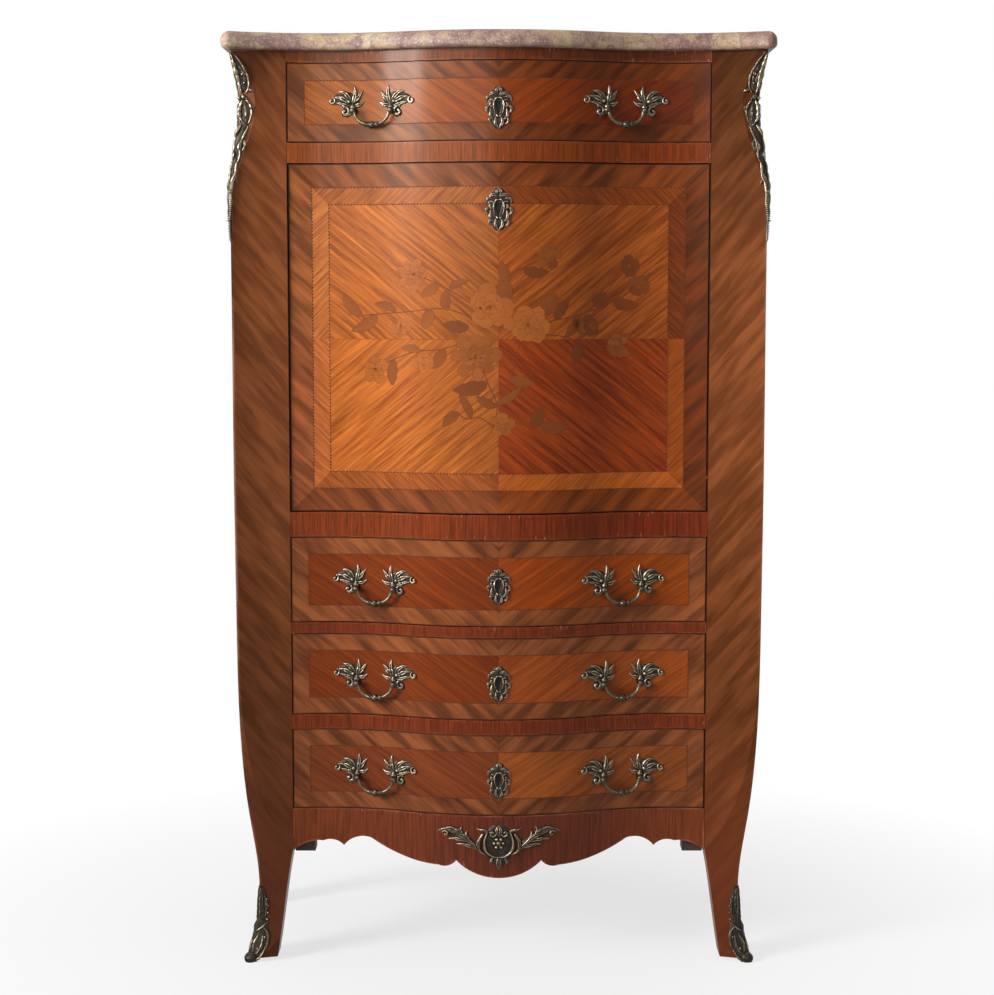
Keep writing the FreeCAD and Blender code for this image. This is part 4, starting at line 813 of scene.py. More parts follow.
# Millimetres from the middle of the fall: the points of each stem; each leaf's root, heading, length,
# breadth and dye; each flower's centre, radius, petals, dye, rings, turn and teeth.
STEMS = (((-8, -128), (-2, -96), (-14, -60), (-24, -20)), ((-2, -96), (16, -50), (26, 0), (30, 24)),
         ((-6, 30), (-2, 70), (22, 98), (60, 118)), ((36, 20), (78, 30), (120, 44), (168, 72)),
         ((44, 8), (80, 4), (112, -10), (140, -8)), ((-24, 28), (-66, 44), (-110, 40), (-170, 34)),
         ((-34, 0), (-70, -14), (-104, -18), (-150, -40)), ((-20, 40), (-50, 64), (-82, 84), (-104, 92)),
         ((110, 40), (130, 66), (152, 96), (158, 104)), ((-8, -124), (20, -120), (40, -126), (56, -122)),
         ((-8, -124), (-24, -112), (-40, -114), (-52, -104)))
LEAVES = ((-14, -62, 205, 34, 15, 0.2), (-4, -92, 20, 30, 13, 0.3), (-2, -96, 160, 26, 12, 0.25),
          (12, -56, -8, 30, 13, 0.3), (-26, -4, 235, 36, 18, 0.2), (14, 84, 150, 26, 13, 0.3),
          (30, 102, -20, 28, 13, 0.2), (70, 28, 70, 27, 13, 0.2), (92, 34, -38, 25, 12, 0.25),
          (120, 46, 84, 24, 13, 0.2), (140, 56, -24, 26, 14, 0.2), (160, 68, 32, 28, 14, 0.2),
          (82, 4, 46, 23, 11, 0.25), (96, -4, -64, 26, 14, 0.15), (132, -8, -36, 30, 14, 0.3),
          (138, -8, 40, 24, 12, 0.25), (-62, 42, 118, 26, 13, 0.3), (-84, 44, 250, 26, 13, 0.35),
          (-126, 40, 128, 24, 12, 0.3), (-150, 36, 222, 30, 13, 0.35), (-168, 34, 160, 28, 13, 0.35),
          (-66, -12, 236, 26, 13, 0.3), (-96, -18, 150, 24, 12, 0.35), (-128, -30, 250, 28, 14, 0.3),
          (-60, 72, 60, 24, 12, 0.3), (-72, 80, 200, 24, 12, 0.35), (40, -126, 40, 28, 14, 0.2),
          (52, -122, -26, 30, 14, 0.25), (-34, -114, 110, 26, 13, 0.25), (-48, -106, 190, 28, 13, 0.25),
          (4, 44, 96, 34, 18, 0.3), (-36, 18, 176, 32, 17, 0.2), (52, 36, 60, 30, 16, 0.3))
FLOWERS = ((-104, 94, 22, 7, 0.46, 3, 10, 3), (60, 120, 18, 5, 0.3, 2, 0, 0),
           (160, 106, 14, 4, 0.22, 1, 20, 0), (172, 76, 14, 3, 0.2, 1, 0, 0),
           (112, 20, 14, 4, 0.22, 2, 8, 0), (146, -6, 16, 5, 0.3, 2, 12, 3),
           (-120, 16, 14, 4, 0.5, 2, 0, 0), (-152, -44, 18, 5, 0.5, 2, 20, 3),
           (-92, -34, 14, 4, 0.62, 2, 0, 0), (4, -122, 17, 5, 0.42, 2, 10, 0),
           (-28, -24, 34, 8, 0.36, 3, 6, 4), (-12, 46, 32, 5, 0.52, 4, 12, 0), (36, 22, 30, 6, 0.6, 4, 0, 3))
MM, WIDE, LEAF_SIZE = 0.001, 1.18, 1.3
for points in STEMS:
    spray.stem([(x * WIDE * MM, z * MM) for x, z in points])
for x, z, heading, reach, breadth, dye in LEAVES:
    askew, longer, wider, bent = UNEVEN.uniform(-1.0, 1.0, 4)
    long = reach * (LEAF_SIZE + LEAF_LONGER * longer) * MM
    broad = breadth * (LEAF_SIZE + LEAF_WIDER * wider) * MM
    spray.blade((x * WIDE * MM, z * MM), heading + LEAF_ASKEW * askew, long, broad, dye, LEAF_LIFT,
                teeth=3, bend=LEAF_BEND * bent)
for x, z, radius, petals, dye, rings, turn, teeth in FLOWERS:
    spray.flower((x * WIDE * MM, z * MM), radius * MM, petals, dye, rings, turn, teeth=teeth)


DYES = ((0.0, srgb(84, 38, 14)), (0.2, srgb(106, 52, 20)), (0.35, srgb(132, 70, 27)),
        (0.5, srgb(150, 81, 31)), (0.8, srgb(172, 96, 38)), (1.0, srgb(184, 106, 46)))
INLAY_FIBRES = (60.0, 900.0)


def stained_fruitwood():
    """Inlaid wood: the dye picks the timber, scorching darkens the roots of petals and one side of leaves."""
    material, tree, shader = new_finish("stained_fruitwood", **POLISH)
    dye = put(tree, "ShaderNodeAttribute", attribute_name="dye").outputs["Fac"]
    scorch = put(tree, "ShaderNodeAttribute", attribute_name="scorch").outputs["Fac"]
    timber = ramp(tree, dye, DYES)
    x, y, z = split(tree, own_place(tree))
    fibre = noise(tree, packed(tree, x, z, 0.0, INLAY_FIBRES), 1.0, 3.0)
    burnt = mix(tree, times(tree, scorch, 0.5), timber, srgb(96, 48, 22))
    grained = mix(tree, span(tree, fibre, 0.35, 0.75, 0.0, 0.3), burnt, srgb(84, 44, 22))
    finish_wood(tree, shader, grained, fibre)
    return material


def set_values(piece, name, values):
    """Writes one number for each point of a piece."""
    piece.data.attributes.new(name, "FLOAT", "POINT").data.foreach_set("value", np.array(values, np.float32))


inlaid = [(x, float(np.interp(x, *fall_line)) - lift, FALL_MIDDLE + z) for x, z, lift in spray.places]
marquetry = new_piece("floral_marquetry", inlaid, spray.faces)
set_values(marquetry, "dye", spray.dye)
set_values(marquetry, "scorch", spray.scorch)
marquetry.data.materials.append(stained_fruitwood())
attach(marquetry, "fall")


# Writing leather: a skin let into the inner side of the fall, with a gilt line tooled round its edge.
# Brown calf, glued down, rubbed pale in the middle.
# The fall's brass pivots, its lock and the bolts come with it.
leather_low, leather_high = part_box("writing_leather")
GILT_LINES = ((0.012, 0.0011), (0.020, 0.0006))
PEBBLES, PEBBLE_DEPTH, RUBBED_PATCHES = 900.0, 0.0003, 9.0
FILE_MARKS, TARNISH_SPOTS = (140.0, 140.0, 1400.0), 120.0


def tooled_leather():
    """A pebbled hide rubbed in patches, with gilt lines given by their inset and width."""
    material, tree, shader = new_finish("tooled_leather", Specular_IOR_Level=0.35)
    place = own_place(tree)
    x, y, z = split(tree, place)
    height = apart(tree, minus(tree, z, (leather_low.z + leather_high.z) / 2))
    edge = past_edge(tree, apart(tree, x), leather_high.x, height, (leather_high.z - leather_low.z) / 2)
    gilt = larger(tree, *(lined(tree, plus(tree, edge, inset), width) for inset, width in GILT_LINES))
    pebbles = put(tree, "ShaderNodeTexVoronoi", {"Vector": place, "Scale": PEBBLES}).outputs["Distance"]
    rubbed = span(tree, noise(tree, place, RUBBED_PATCHES, 4.0), 0.35, 0.7)
    hide = mix(tree, rubbed, srgb(74, 40, 22), srgb(122, 72, 40))
    gilded = mix(tree, gilt, hide, srgb(202, 160, 84))
    coloured(tree, shader, gilded, span(tree, pebbles, 0.0, 0.8, 0.42, 0.6))
    roughened(tree, shader, pebbles, 0.5, PEBBLE_DEPTH)
    return material


def drawn_metal(name, dull, bright, roughness):
    """Flat worked metal: filed in one direction, spotted with tarnish."""
    material, tree, shader = new_finish(name, Metallic=1.0)
    place = own_place(tree)
    x, y, z = split(tree, place)
    filed = noise(tree, packed(tree, x, y, times(tree, z, FILE_MARKS[2]), FILE_MARKS), 1.0)
    tarnish = span(tree, noise(tree, place, TARNISH_SPOTS, 4.0), 0.35, 0.65)
    coloured(tree, shader, mix(tree, tarnish, dull, bright),
             span(tree, filed, 0.3, 0.7, roughness, roughness + 0.15))
    return material


dress(tooled_leather(), "writing_leather")
dress(drawn_metal("brass", srgb(150, 112, 58), srgb(196, 158, 92), 0.3), "fall_pivots", "pivot_plates")
dress(drawn_metal("lock_steel", srgb(70, 66, 62), srgb(128, 122, 116), 0.35), "fall_lock", "fall_bolt",
      *(f"drawer_{number}_{part}" for number in LEAF_TONES_AND_LIGHT for part in ("lock", "bolt")))


# Bronze mounts of the drawers: two leaf plates to each handle, and a keyhole plate.
# Cast in rocaille leaves and scrolls and chased; now brown in the hollows and rubbed on the ridges.
# Each plate lies on the veneer and is pinned through it.
def stroke(path, taper, breadth, height, lobes=0, groove=0.0):
    """A tongue of metal along a path, in millimetres; taper gives its shares of breadth from root to tip."""
    return {"path": path, "taper": taper, "breadth": breadth, "height": height, "lobes": lobes,
            "groove": groove}


def leaf(points, breadth, height, lobes=0, groove=0.35):
    """A pointed stroke with scalloped sides and a middle vein."""
    return stroke(smooth_path(points, LEAF_STEPS), (0.55, 1.0, 0.12), breadth, height, lobes, groove)


def plate(points, breadth, height):
    """The thin ground that the leaves of a mount stand on."""
    return stroke(smooth_path(points, LEAF_STEPS), (0.6, 1.0, 0.6), breadth, height)


def scroll(centre, radius, turns, start, breadth, height):
    """A rolled band that ends close to its centre."""
    shares = np.linspace(0.0, 1.0, SCROLL_STEPS)
    angles = np.radians(start) + shares * turns * 2 * math.pi
    reach = radius * (1.0 - SCROLL_CLOSE * shares)
    path = np.stack([centre[0] + reach * np.cos(angles), centre[1] + reach * np.sin(angles)], axis=1)
    return stroke(path, (0.5, 1.0, 0.9), breadth, height, groove=0.25)


def bead(centre, radius, height):
    """A round drop: a stroke with next to no length."""
    path = np.array([centre, (centre[0] + BEAD_LENGTH, centre[1])], float)
    return stroke(path, (1.0, 1.0, 1.0), radius * 2, height)


LEAF_STEPS, SCROLL_STEPS, SCROLL_CLOSE, BEAD_LENGTH = 44, 60, 0.82, 0.01
GRAIN_SIZE, BARE_GROUND, FAR_OFF = 0.55, -9.0, 99.0
SWELL_PLACE, LOBE_DEPTH, LEAST_HALF, MARGIN = 0.4, 0.28, 0.35, 2.0
VEIN_WIDTH, RIM_SLOPE = 0.3, 0.8


def flipped(strokes):
    """The same strokes on the other side of the middle."""
    return [dict(mark, path=mark["path"] * (-1.0, 1.0)) for mark in strokes]


def chase(strokes, low, high):
    """The height of the chased metal over a grid, from its strokes: below nought is bare ground."""
    across = np.arange(low[0], high[0] + GRAIN_SIZE, GRAIN_SIZE)
    up = np.arange(low[1], high[1] + GRAIN_SIZE, GRAIN_SIZE)
    wide, tall = np.meshgrid(across, up)
    height = np.full(wide.shape, BARE_GROUND)
    for mark in strokes:
        path = mark["path"]
        share = np.linspace(0.0, 1.0, len(path))
        taper = np.interp(share, (0.0, SWELL_PLACE, 1.0), mark["taper"])
        if mark["lobes"]:
            scallop = np.abs(np.sin(math.pi * mark["lobes"] * share))
            taper = taper * (1.0 - LOBE_DEPTH + LOBE_DEPTH * scallop)
        half = np.maximum(mark["breadth"] / 2 * taper, LEAST_HALF)
        margin = half.max() + MARGIN
        rows = (up > path[:, 1].min() - margin) & (up < path[:, 1].max() + margin)
        columns = (across > path[:, 0].min() - margin) & (across < path[:, 0].max() + margin)
        window = np.ix_(rows, columns)
        near = np.full(wide[window].shape, FAR_OFF)
        peak = np.zeros(near.shape)
        off = np.full(near.shape, FAR_OFF)
        for (u, v), reach, level in zip(path, half, np.sqrt(taper)):
            distance = np.hypot(wide[window] - u, tall[window] - v)
            closer = distance / reach < near
            near = np.where(closer, distance / reach, near)
            peak = np.where(closer, level, peak)
            off = np.minimum(off, distance - reach)
        dome = np.sqrt(np.clip(1.0 - near ** 2, 0.0, 1.0))
        vein = 1.0 - mark["groove"] * np.exp(-(near / VEIN_WIDTH) ** 2)
        inside = mark["height"] * peak * dome * vein
        height[window] = np.maximum(height[window], np.where(near < 1.0, inside, -RIM_SLOPE * off))
    return across, up, height


AROUND = ((0, 1), (0, -1), (1, 0), (-1, 0), (0, 2), (0, -2), (2, 0), (-2, 0),
          (2, 2), (-2, -2), (2, -2), (-2, 2))
LEVEL_RIDGE, RIDGE_HEIGHT = 0.38, 0.7


def ridges(height):
    """How far each point stands above its surroundings, 0 in a hollow, 1 on a ridge."""
    raised = np.maximum(height, 0.0)
    blurred = raised.copy()
    for shift in AROUND:
        blurred = blurred + np.roll(raised, shift, (0, 1))
    return np.clip(LEVEL_RIDGE + (raised - blurred / (len(AROUND) + 1)) / RIDGE_HEIGHT, 0.0, 1.0)


BURIED, BACK_GAP, RIM_DEPTH = 0.9, 0.2, 0.25
BACK_RIDGE, TURNED_RIDGE, TURNED_STEPS = 0.2, 0.6, 20


def round_angles(steps):
    return [2 * math.pi * step / steps for step in range(steps)]


class Casting:
    """Collects reliefs that are cast as one piece."""

    def __init__(self):
        self.points, self.faces, self.ridge = [], [], []

    def relief(self, across, up, height, seat, ridge):
        """A closed shell: the chased face, and a back just under the ground it lies on."""
        count = len(across)
        shown = np.maximum(height, -BURIED + BACK_GAP)
        corners = [height[:-1, :-1], height[:-1, 1:], height[1:, 1:], height[1:, :-1]]
        rows, columns = np.nonzero(np.maximum.reduce(corners) > -RIM_DEPTH)
        quads = np.stack([rows * count + columns, rows * count + columns + 1,
                          (rows + 1) * count + columns + 1, (rows + 1) * count + columns], axis=1)
        used, quads = np.unique(quads, return_inverse=True)
        quads = quads.reshape(-1, 4)
        ground, outward = seat(np.tile(across, len(up))[used], np.repeat(up, count)[used])
        first, depth = len(self.points), len(used)
        self.points += (ground + outward * (shown.ravel()[used, None] * MM)).tolist()
        self.points += (ground - outward * (BURIED * MM)).tolist()
        self.ridge += ridge.ravel()[used].tolist() + [BACK_RIDGE] * depth
        self.faces += (quads + first).tolist() + (quads[:, ::-1] + first + depth).tolist()
        sides = np.concatenate([quads[:, [i, (i + 1) % 4]] for i in range(4)])
        known = {(a, b) for a, b in sides.tolist()}
        self.faces += [(first + b, first + a, first + depth + a, first + depth + b)
                       for a, b in sides.tolist() if (b, a) not in known]

    def tube(self, rings, ridge):
        """A closed tube through rings of points, and how far each point counts as a ridge."""
        first, steps = len(self.points), len(rings[0])
        last = first + (len(rings) - 1) * steps
        self.points += [tuple(point) for ring in rings for point in ring]
        self.ridge += ridge
        for start in range(first, last, steps):
            for step in range(steps):
                a, b = start + step, start + (step + 1) % steps
                self.faces.append((a, b, b + steps, a + steps))
        self.faces += [tuple(range(first, first + steps))[::-1], tuple(range(last, last + steps))]

    def turned(self, start, axis, profile):
        """A turned piece: (distance along the axis, radius) pairs, in metres."""
        axis = Vector(axis).normalized()
        side = axis.orthogonal().normalized()
        other = axis.cross(side)
        ways = [side * math.cos(angle) + other * math.sin(angle) for angle in round_angles(TURNED_STEPS)]
        rings = [[Vector(start) + axis * along + way * radius for way in ways] for along, radius in profile]
        self.tube(rings, [TURNED_RIDGE] * (len(profile) * TURNED_STEPS))

    def piece(self, name, body, replaced):
        made = new_piece(name, self.points, self.faces)
        set_values(made, "ridge", self.ridge)
        made.data.shade_smooth()
        made.data.materials.append(OLD_BRONZE)
        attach(made, body)
        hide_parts(replaced)


BRONZE_COLOURS = ((0.0, srgb(14, 11, 8)), (0.3, srgb(28, 22, 16)), (0.55, srgb(54, 45, 34)),
                  (0.8, srgb(94, 82, 66)), (1.0, srgb(142, 128, 108)))
BLOTCHES, BLOTCH_DEPTH = 260.0, 0.0003


def old_bronze():
    """Brown in the hollows and rubbed on the ridges, with a fine blotch over both."""
    material, tree, shader = new_finish("old_bronze", Metallic=0.75)
    ridge = put(tree, "ShaderNodeAttribute", attribute_name="ridge").outputs["Fac"]
    blotch = noise(tree, own_place(tree), BLOTCHES, 4.0, 0.6)
    level = plus(tree, ridge, span(tree, blotch, 0.3, 0.7, -0.16, 0.16))
    coloured(tree, shader, ramp(tree, level, BRONZE_COLOURS), span(tree, level, 0.2, 0.9, 0.55, 0.3))
    roughened(tree, shader, blotch, 0.25, BLOTCH_DEPTH)
    return material


OLD_BRONZE = old_bronze()
HANDLE_LEAF = [
    plate(((-3, 8), (5, 7), (13, 8), (20, 8)), 19, 1.8),
    plate(((0, 4), (5, -2), (8, -6), (11, -9)), 12, 1.6),
    leaf(((0, 2), (-2, 9), (-3, 16), (-2, 24)), 8, 4.6, 2),
    leaf(((0, 3), (-6, 9), (-9, 13), (-13, 18)), 7, 4.0, 2),
    leaf(((1, 1), (-6, 1), (-10, 2), (-14, 5)), 6, 3.6),
    leaf(((2, 5), (7, 12), (12, 16), (18, 17)), 8, 4.6, 2),
    leaf(((3, 3), (10, 7), (17, 10), (25, 10)), 8, 5.2, 3), scroll((27, 6), 4.6, 0.9, 110, 3.0, 4.0),
    leaf(((4, 1), (10, 1), (16, 3), (23, 4)), 6.5, 4.2, 2), scroll((10, -7), 6.2, 1.0, 70, 3.8, 4.8),
    leaf(((1, 0), (2, -5), (5, -10), (10, -14)), 5, 4.0), bead((5, 5), 3.0, 5.4),
    leaf(((0, 2), (0, -1), (0, -4), (0, -7)), 8, 5.0, 0, 0.0), bead((0, -6), 4.4, 5.2)]
leaf_low, leaf_high = (-18, -18), (35, 28)
PLATE_SIDE = [
    plate(((2, 22), (5, 10), (5, -8), (2, -24)), 20, 1.8),
    leaf(((0, 27), (2.5, 24), (3, 20), (1, 15)), 5, 4.2),
    leaf(((2, 17), (8, 19), (12, 16), (13, 11)), 6, 4.2, 2),
    leaf(((10, 14), (15, 14), (17, 11), (17, 7)), 4.4, 3.6), scroll((10.5, 4), 6, 0.9, 80, 3.6, 4.2),
    leaf(((13, 2), (17, -1), (17, -6), (13, -8)), 4.6, 3.8, 2),
    leaf(((11, -3), (12, -11), (9, -16), (5, -17)), 5, 4.2, 2),
    leaf(((9, -14), (13, -17), (12, -22), (8, -23)), 4.0, 3.6),
    leaf(((4, -15), (5, -22), (2, -27), (0, -31)), 5, 4.0),
    leaf(((5.4, 9), (7.2, 4), (6.4, -4), (3.7, -11)), 3.6, 4.6, 0, 0.0),
    leaf(((0, 12.5), (3, 12), (5, 10), (6, 6)), 3.4, 4.6, 0, 0.0),
    leaf(((3.5, -11), (2, -13), (1, -13.5), (0, -13.5)), 3.4, 4.2, 0, 0.0)]
KEYHOLE_PLATE = PLATE_SIDE + flipped(PLATE_SIDE)
KEYHOLE = [leaf(((0, 5), (0, 1), (0, -5), (0, -10)), 7.0, 1.0, 0, 0.0), bead((0, 4), 4.2, 1.0)]
plate_low, plate_high = (-20, -33), (20, 30)
HOLE_FLOOR, HOLE_SHADE = 0.25, -0.6


def keyhole_relief(scale):
    """The keyhole plate's grid, with the hole sunk to the ground and painted black as the shade inside it."""
    across, up, height = chase(KEYHOLE_PLATE, plate_low, plate_high)
    shade = ridges(height)
    hole = chase(KEYHOLE, plate_low, plate_high)[2] > 0.0
    return across * scale, up * scale, np.where(hole, HOLE_FLOOR, height), np.where(hole, HOLE_SHADE, shade)


def on_front(line, x, z):
    """A seat on a front: from millimetres off a middle to points and the ways that the front faces there."""
    def seat(across, up):
        wide = x + np.asarray(across) * MM
        points = np.stack([wide, np.interp(wide, *line), z + np.asarray(up) * MM], axis=1)
        slope = np.interp(wide, line[0], np.gradient(line[1], line[0]))
        ways = np.stack([slope, -np.ones(len(wide)), np.zeros(len(wide))], axis=1)
        return points, ways / np.linalg.norm(ways, axis=1)[:, None]
    return seat


def plate_middle(name):
    """The height of the keyhole in a node that holds a keyhole plate at the middle of its front."""
    heights = [point.co.z for point in nodes[name].data.vertices if abs(point.co.x) < PLATE_REACH]
    return (min(heights) + max(heights)) / 2


PIN_SPREAD, PLATE_REACH = 0.028, 0.03
DRAWER_PLATES, FALL_PLATE = {1: 1.02, 2: 0.91, 3: 0.91, 4: 0.91}, 1.04
LEAF_WIDE, LEAF_TALL, LEAF_RISE = 1.14, 1.2, 7.0
KNUCKLE_DEPTH = 0.011
KNUCKLE = ((0.0, 0.0042), (0.004, 0.0034), (0.0068, 0.0030), (0.0078, 0.0036), (0.0098, 0.0042),
           (0.0122, 0.0042), (0.0142, 0.0034), (0.0151, 0.0018))
leaf_across, leaf_up, leaf_height = chase(HANDLE_LEAF, leaf_low, leaf_high)
leaf_ridge = ridges(leaf_height)
leaf_across, leaf_up = leaf_across * LEAF_WIDE, leaf_up * LEAF_TALL + LEAF_RISE
leaf_pair = {1: (leaf_across, leaf_height, leaf_ridge),
             -1: (-leaf_across[::-1], leaf_height[:, ::-1], leaf_ridge[:, ::-1])}
joints = {joint["name"]: joint for joint in frame["joints"]}
for number, line in drawer_lines.items():
    casting = Casting()
    for side in ("left", "right"):
        swing = joints[f"drawer_{number}_bail_{side}_swing"]
        middle, along = Vector(swing["pos_m"]), Vector(swing["axis"])
        facing = 1 if along.x > 0 else -1
        outward = Vector((along.y, -along.x, 0)) * facing
        for way in (-1, 1):
            pin = middle + along * (PIN_SPREAD * way * facing)
            across, height, ridge = leaf_pair[way]
            casting.relief(across, leaf_up, height, on_front(line, pin.x, pin.z), ridge)
            casting.turned(pin - outward * KNUCKLE_DEPTH, outward, KNUCKLE)
    across, up, height, ridge = keyhole_relief(DRAWER_PLATES[number])
    casting.relief(across, up, height, on_front(line, 0.0, plate_middle(f"drawer_{number}_mounts")), ridge)
    casting.piece(f"drawer_{number}_cast_mounts", f"drawer_{number}", f"drawer_{number}_mounts")

casting = Casting()
across, up, height, ridge = keyhole_relief(FALL_PLATE)
casting.relief(across, up, height, on_front(fall_line, 0.0, plate_middle("fall_escutcheon")), ridge)
casting.piece("fall_keyhole_plate", "fall", "fall_escutcheon")


# Bails: the swinging grips, a wide bow with a leafy knop in the middle.
# Cast bronze, filed round; each end turns outwards into a knuckle of its leaf plate.
# They hang down at rest and swing up to the pull.
BAIL_HALF = ((32.0, 0.0), (28.0, -0.5), (25.6, -2.5), (25.0, -5.8), (22.0, -11.7), (15.0, -17.4),
             (7.0, -20.0), (0.0, -20.6))
BAIL_PATH = smooth_path(BAIL_HALF + tuple((-u, v) for u, v in BAIL_HALF[-2::-1]), 121) * MM
BAR_RADIUS, BAR_SWELL, SWELL_REACH = 0.0024, 0.0008, 0.020
KNOP_HALF, COLLAR_PLACE, COLLAR_HALF, COLLAR_SHARE, KNOP_RISE = 0.0040, 0.0082, 0.0020, 0.55, 0.0021
KNOP_LOBES, LOBE_SHARE, LOBE_TWIST = 5, 0.28, 900
BAR_RIDGE, HOLLOW_RIDGE, LOBE_RIDGE = 0.72, 0.35, 0.4
BAIL_STEPS, BARE_BAR = 18, 0.05


def bail_bar(name, body, middle, along):
    """Sweeps a bar along the bow: thicker in the middle, with a lobed knop between two collars."""
    ahead = np.gradient(BAIL_PATH, axis=0)
    ahead /= np.linalg.norm(ahead, axis=1)[:, None]
    outward = np.array((along.y, -along.x, 0.0))
    angles = round_angles(BAIL_STEPS)
    rings, ridge = [], []
    for (u, v), (du, dv) in zip(BAIL_PATH, ahead):
        collar = math.exp(-((abs(u) - COLLAR_PLACE) / COLLAR_HALF) ** 2)
        knop = math.exp(-(u / KNOP_HALF) ** 4) + COLLAR_SHARE * collar
        radius = BAR_RADIUS + BAR_SWELL * max(0.0, 1 - abs(u) / SWELL_REACH)
        side = np.array(along) * -dv + np.array((0.0, 0.0, du))
        centre = np.array(middle) + np.array(along) * u + np.array((0.0, 0.0, v))
        lobes = [LOBE_SHARE * math.cos(KNOP_LOBES * angle + LOBE_TWIST * u) for angle in angles]
        rings.append([centre + (side * math.cos(angle) + outward * math.sin(angle))
                      * (radius + KNOP_RISE * knop * (1.0 + lobe)) for angle, lobe in zip(angles, lobes)])
        raised = [HOLLOW_RIDGE + LOBE_RIDGE * (lobe / LOBE_SHARE + 1.0) / 2 for lobe in lobes]
        ridge += [BAR_RIDGE] * BAIL_STEPS if knop < BARE_BAR else raised
    casting = Casting()
    casting.tube(rings, ridge)
    casting.piece(name, body, body)


for number in LEAF_TONES_AND_LIGHT:
    for side in ("left", "right"):
        body = f"drawer_{number}_bail_{side}"
        swing = joints[f"{body}_swing"]
        bail_bar(f"{body}_cast", body, Vector(swing["pos_m"]), -Vector(swing["axis"]))


# Corner mounts, sabots and apron mount: rocaille castings on the case.
# The corner mounts ride the arris under the slab and run out in a twisting leaf; the sabots shoe the feet.
# The apron mount is a shell between two acanthus branches.
def arris_seat(name, side, low_z):
    """A seat bent over a post's front arris: over its front where across is above nought, else its side."""
    tree = BVHTree.FromObject(nodes[name], bpy.context.evaluated_depsgraph_get())
    low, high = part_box(name)
    heights = np.linspace(low.z + END_MARGIN, high.z - END_MARGIN, 300)
    inwards = Vector((-side, 0, 0))
    outer = [tree.ray_cast(Vector((side * FAR_START, low.y + ARRIS_DEPTH, z)), inwards)[0].x for z in heights]

    def front_at(x, z):
        return tree.ray_cast(Vector((x, low.y - FAR_START, z)), BACKWARDS)[0]

    front = [front_at(x - side * ARRIS_INSET, z).y for x, z in zip(outer, heights)]

    def seat(across, up):
        points = []
        for u, z in zip(np.asarray(across) * MM, low_z + np.asarray(up) * MM):
            x, y = np.interp(z, heights, outer), np.interp(z, heights, front) - min(u, 0.0)
            if u > 0.0:
                x -= side * u * math.cos(FLARE)
                hit = front_at(x, np.clip(z, heights[0], heights[-1]))
                y = hit.y if hit else y
            points.append((x, y, z))
        turn = np.clip(np.asarray(across) / ARRIS_BEND + 0.5, 0.0, 1.0)
        sideways = side * (1 - turn * (1 + math.sin(FLARE)))
        ways = np.stack([sideways, -turn * math.cos(FLARE), 0.0 * turn], axis=1)
        return np.array(points), ways / np.linalg.norm(ways, axis=1)[:, None]
    return seat


ARRIS_DEPTH, ARRIS_INSET, END_MARGIN, FAR_START = 0.038, 0.0006, 0.001, 1.0
ARRIS_BEND = 8.0
FLARE = math.radians(23.0)
CORNER_MOUNT = [
    plate(((1, 268), (5, 250), (8, 236), (7, 222)), 20, 2.0),
    plate(((6, 204), (9, 192), (9, 180), (8, 168)), 20, 2.0),
    plate(((7, 164), (4, 146), (3, 128), (0, 110)), 15, 2.2),
    plate(((-1, 112), (-3, 88), (-3, 60), (-1, 6)), 11, 3.0),
    plate(((-3, 262), (-8, 242), (-8, 222), (-5, 206)), 13, 2.0),
    plate(((-4, 198), (-8, 184), (-8, 168), (-4, 150)), 12, 2.0),
    leaf(((0, 269), (1, 252), (2, 234), (3, 218), (7, 208)), 6.0, 5.2, 7, 0.0),
    leaf(((5, 266), (12, 250), (16, 236), (15, 222), (8, 211)), 6.0, 5.6, 5, 0.0),
    leaf(((14, 220), (18, 218), (22, 217), (25, 216)), 4.0, 3.4),
    leaf(((6, 252), (10, 243), (11, 232), (8, 222)), 5.0, 4.0, 4), bead((8, 240), 2.2, 4.4),
    bead((9, 228), 2.0, 4.2), leaf(((3, 244), (5, 236), (6, 228), (6, 220)), 4.5, 3.6, 3),
    bead((6, 208), 4.2, 5.8), bead((10, 206), 2.6, 4.6), bead((1, 207), 2.8, 4.6),
    leaf(((4, 204), (1, 190), (3, 176), (12, 166)), 6.0, 5.4, 5, 0.0),
    leaf(((9, 205), (16, 196), (18, 184), (14, 168)), 6.0, 5.2, 4, 0.0),
    leaf(((8, 198), (10, 188), (10, 179), (11, 171)), 5.0, 3.8, 3),
    leaf(((16, 196), (20, 194), (21, 190), (19, 186)), 4, 3.6),
    leaf(((14, 166), (8, 152), (4, 138), (6, 126), (3, 112), (-3, 96)), 6.4, 5.6, 4, 0.2),
    leaf(((3, 168), (-2, 154), (-4, 138), (-1, 126), (-4, 112), (-7, 96)), 6.4, 7.0, 4, 0.2),
    leaf(((8, 148), (12, 142), (11, 135), (7, 130)), 5.0, 3.8, 2),
    leaf(((-8, 122), (-11, 118), (-12, 112), (-9, 106)), 5.0, 5.0, 2),
    leaf(((1, 92), (4, 90), (6, 87), (7, 84)), 3.5, 4.0),
    leaf(((-3, 116), (-6, 100), (-6, 84), (-5, 62), (-4, 34), (-1, 2)), 8.5, 9.0, 6, 0.15),
    leaf(((3, 114), (3, 98), (0, 80), (1, 56), (0, 30), (0, 4)), 6.5, 6.0, 6, 0.15),
    leaf(((-2, 262), (-10, 242), (-12, 222), (-6, 207)), 6.0, 5.2, 4, 0.0),
    leaf(((-3, 198), (-11, 186), (-11, 168), (-4, 152)), 6.0, 5.0, 4, 0.0), bead((-8, 228), 2.4, 4.6),
    bead((-9, 160), 2.2, 4.4), bead((0, 74), 2.2, 6.4), bead((-2, 32), 2.0, 6.0)]
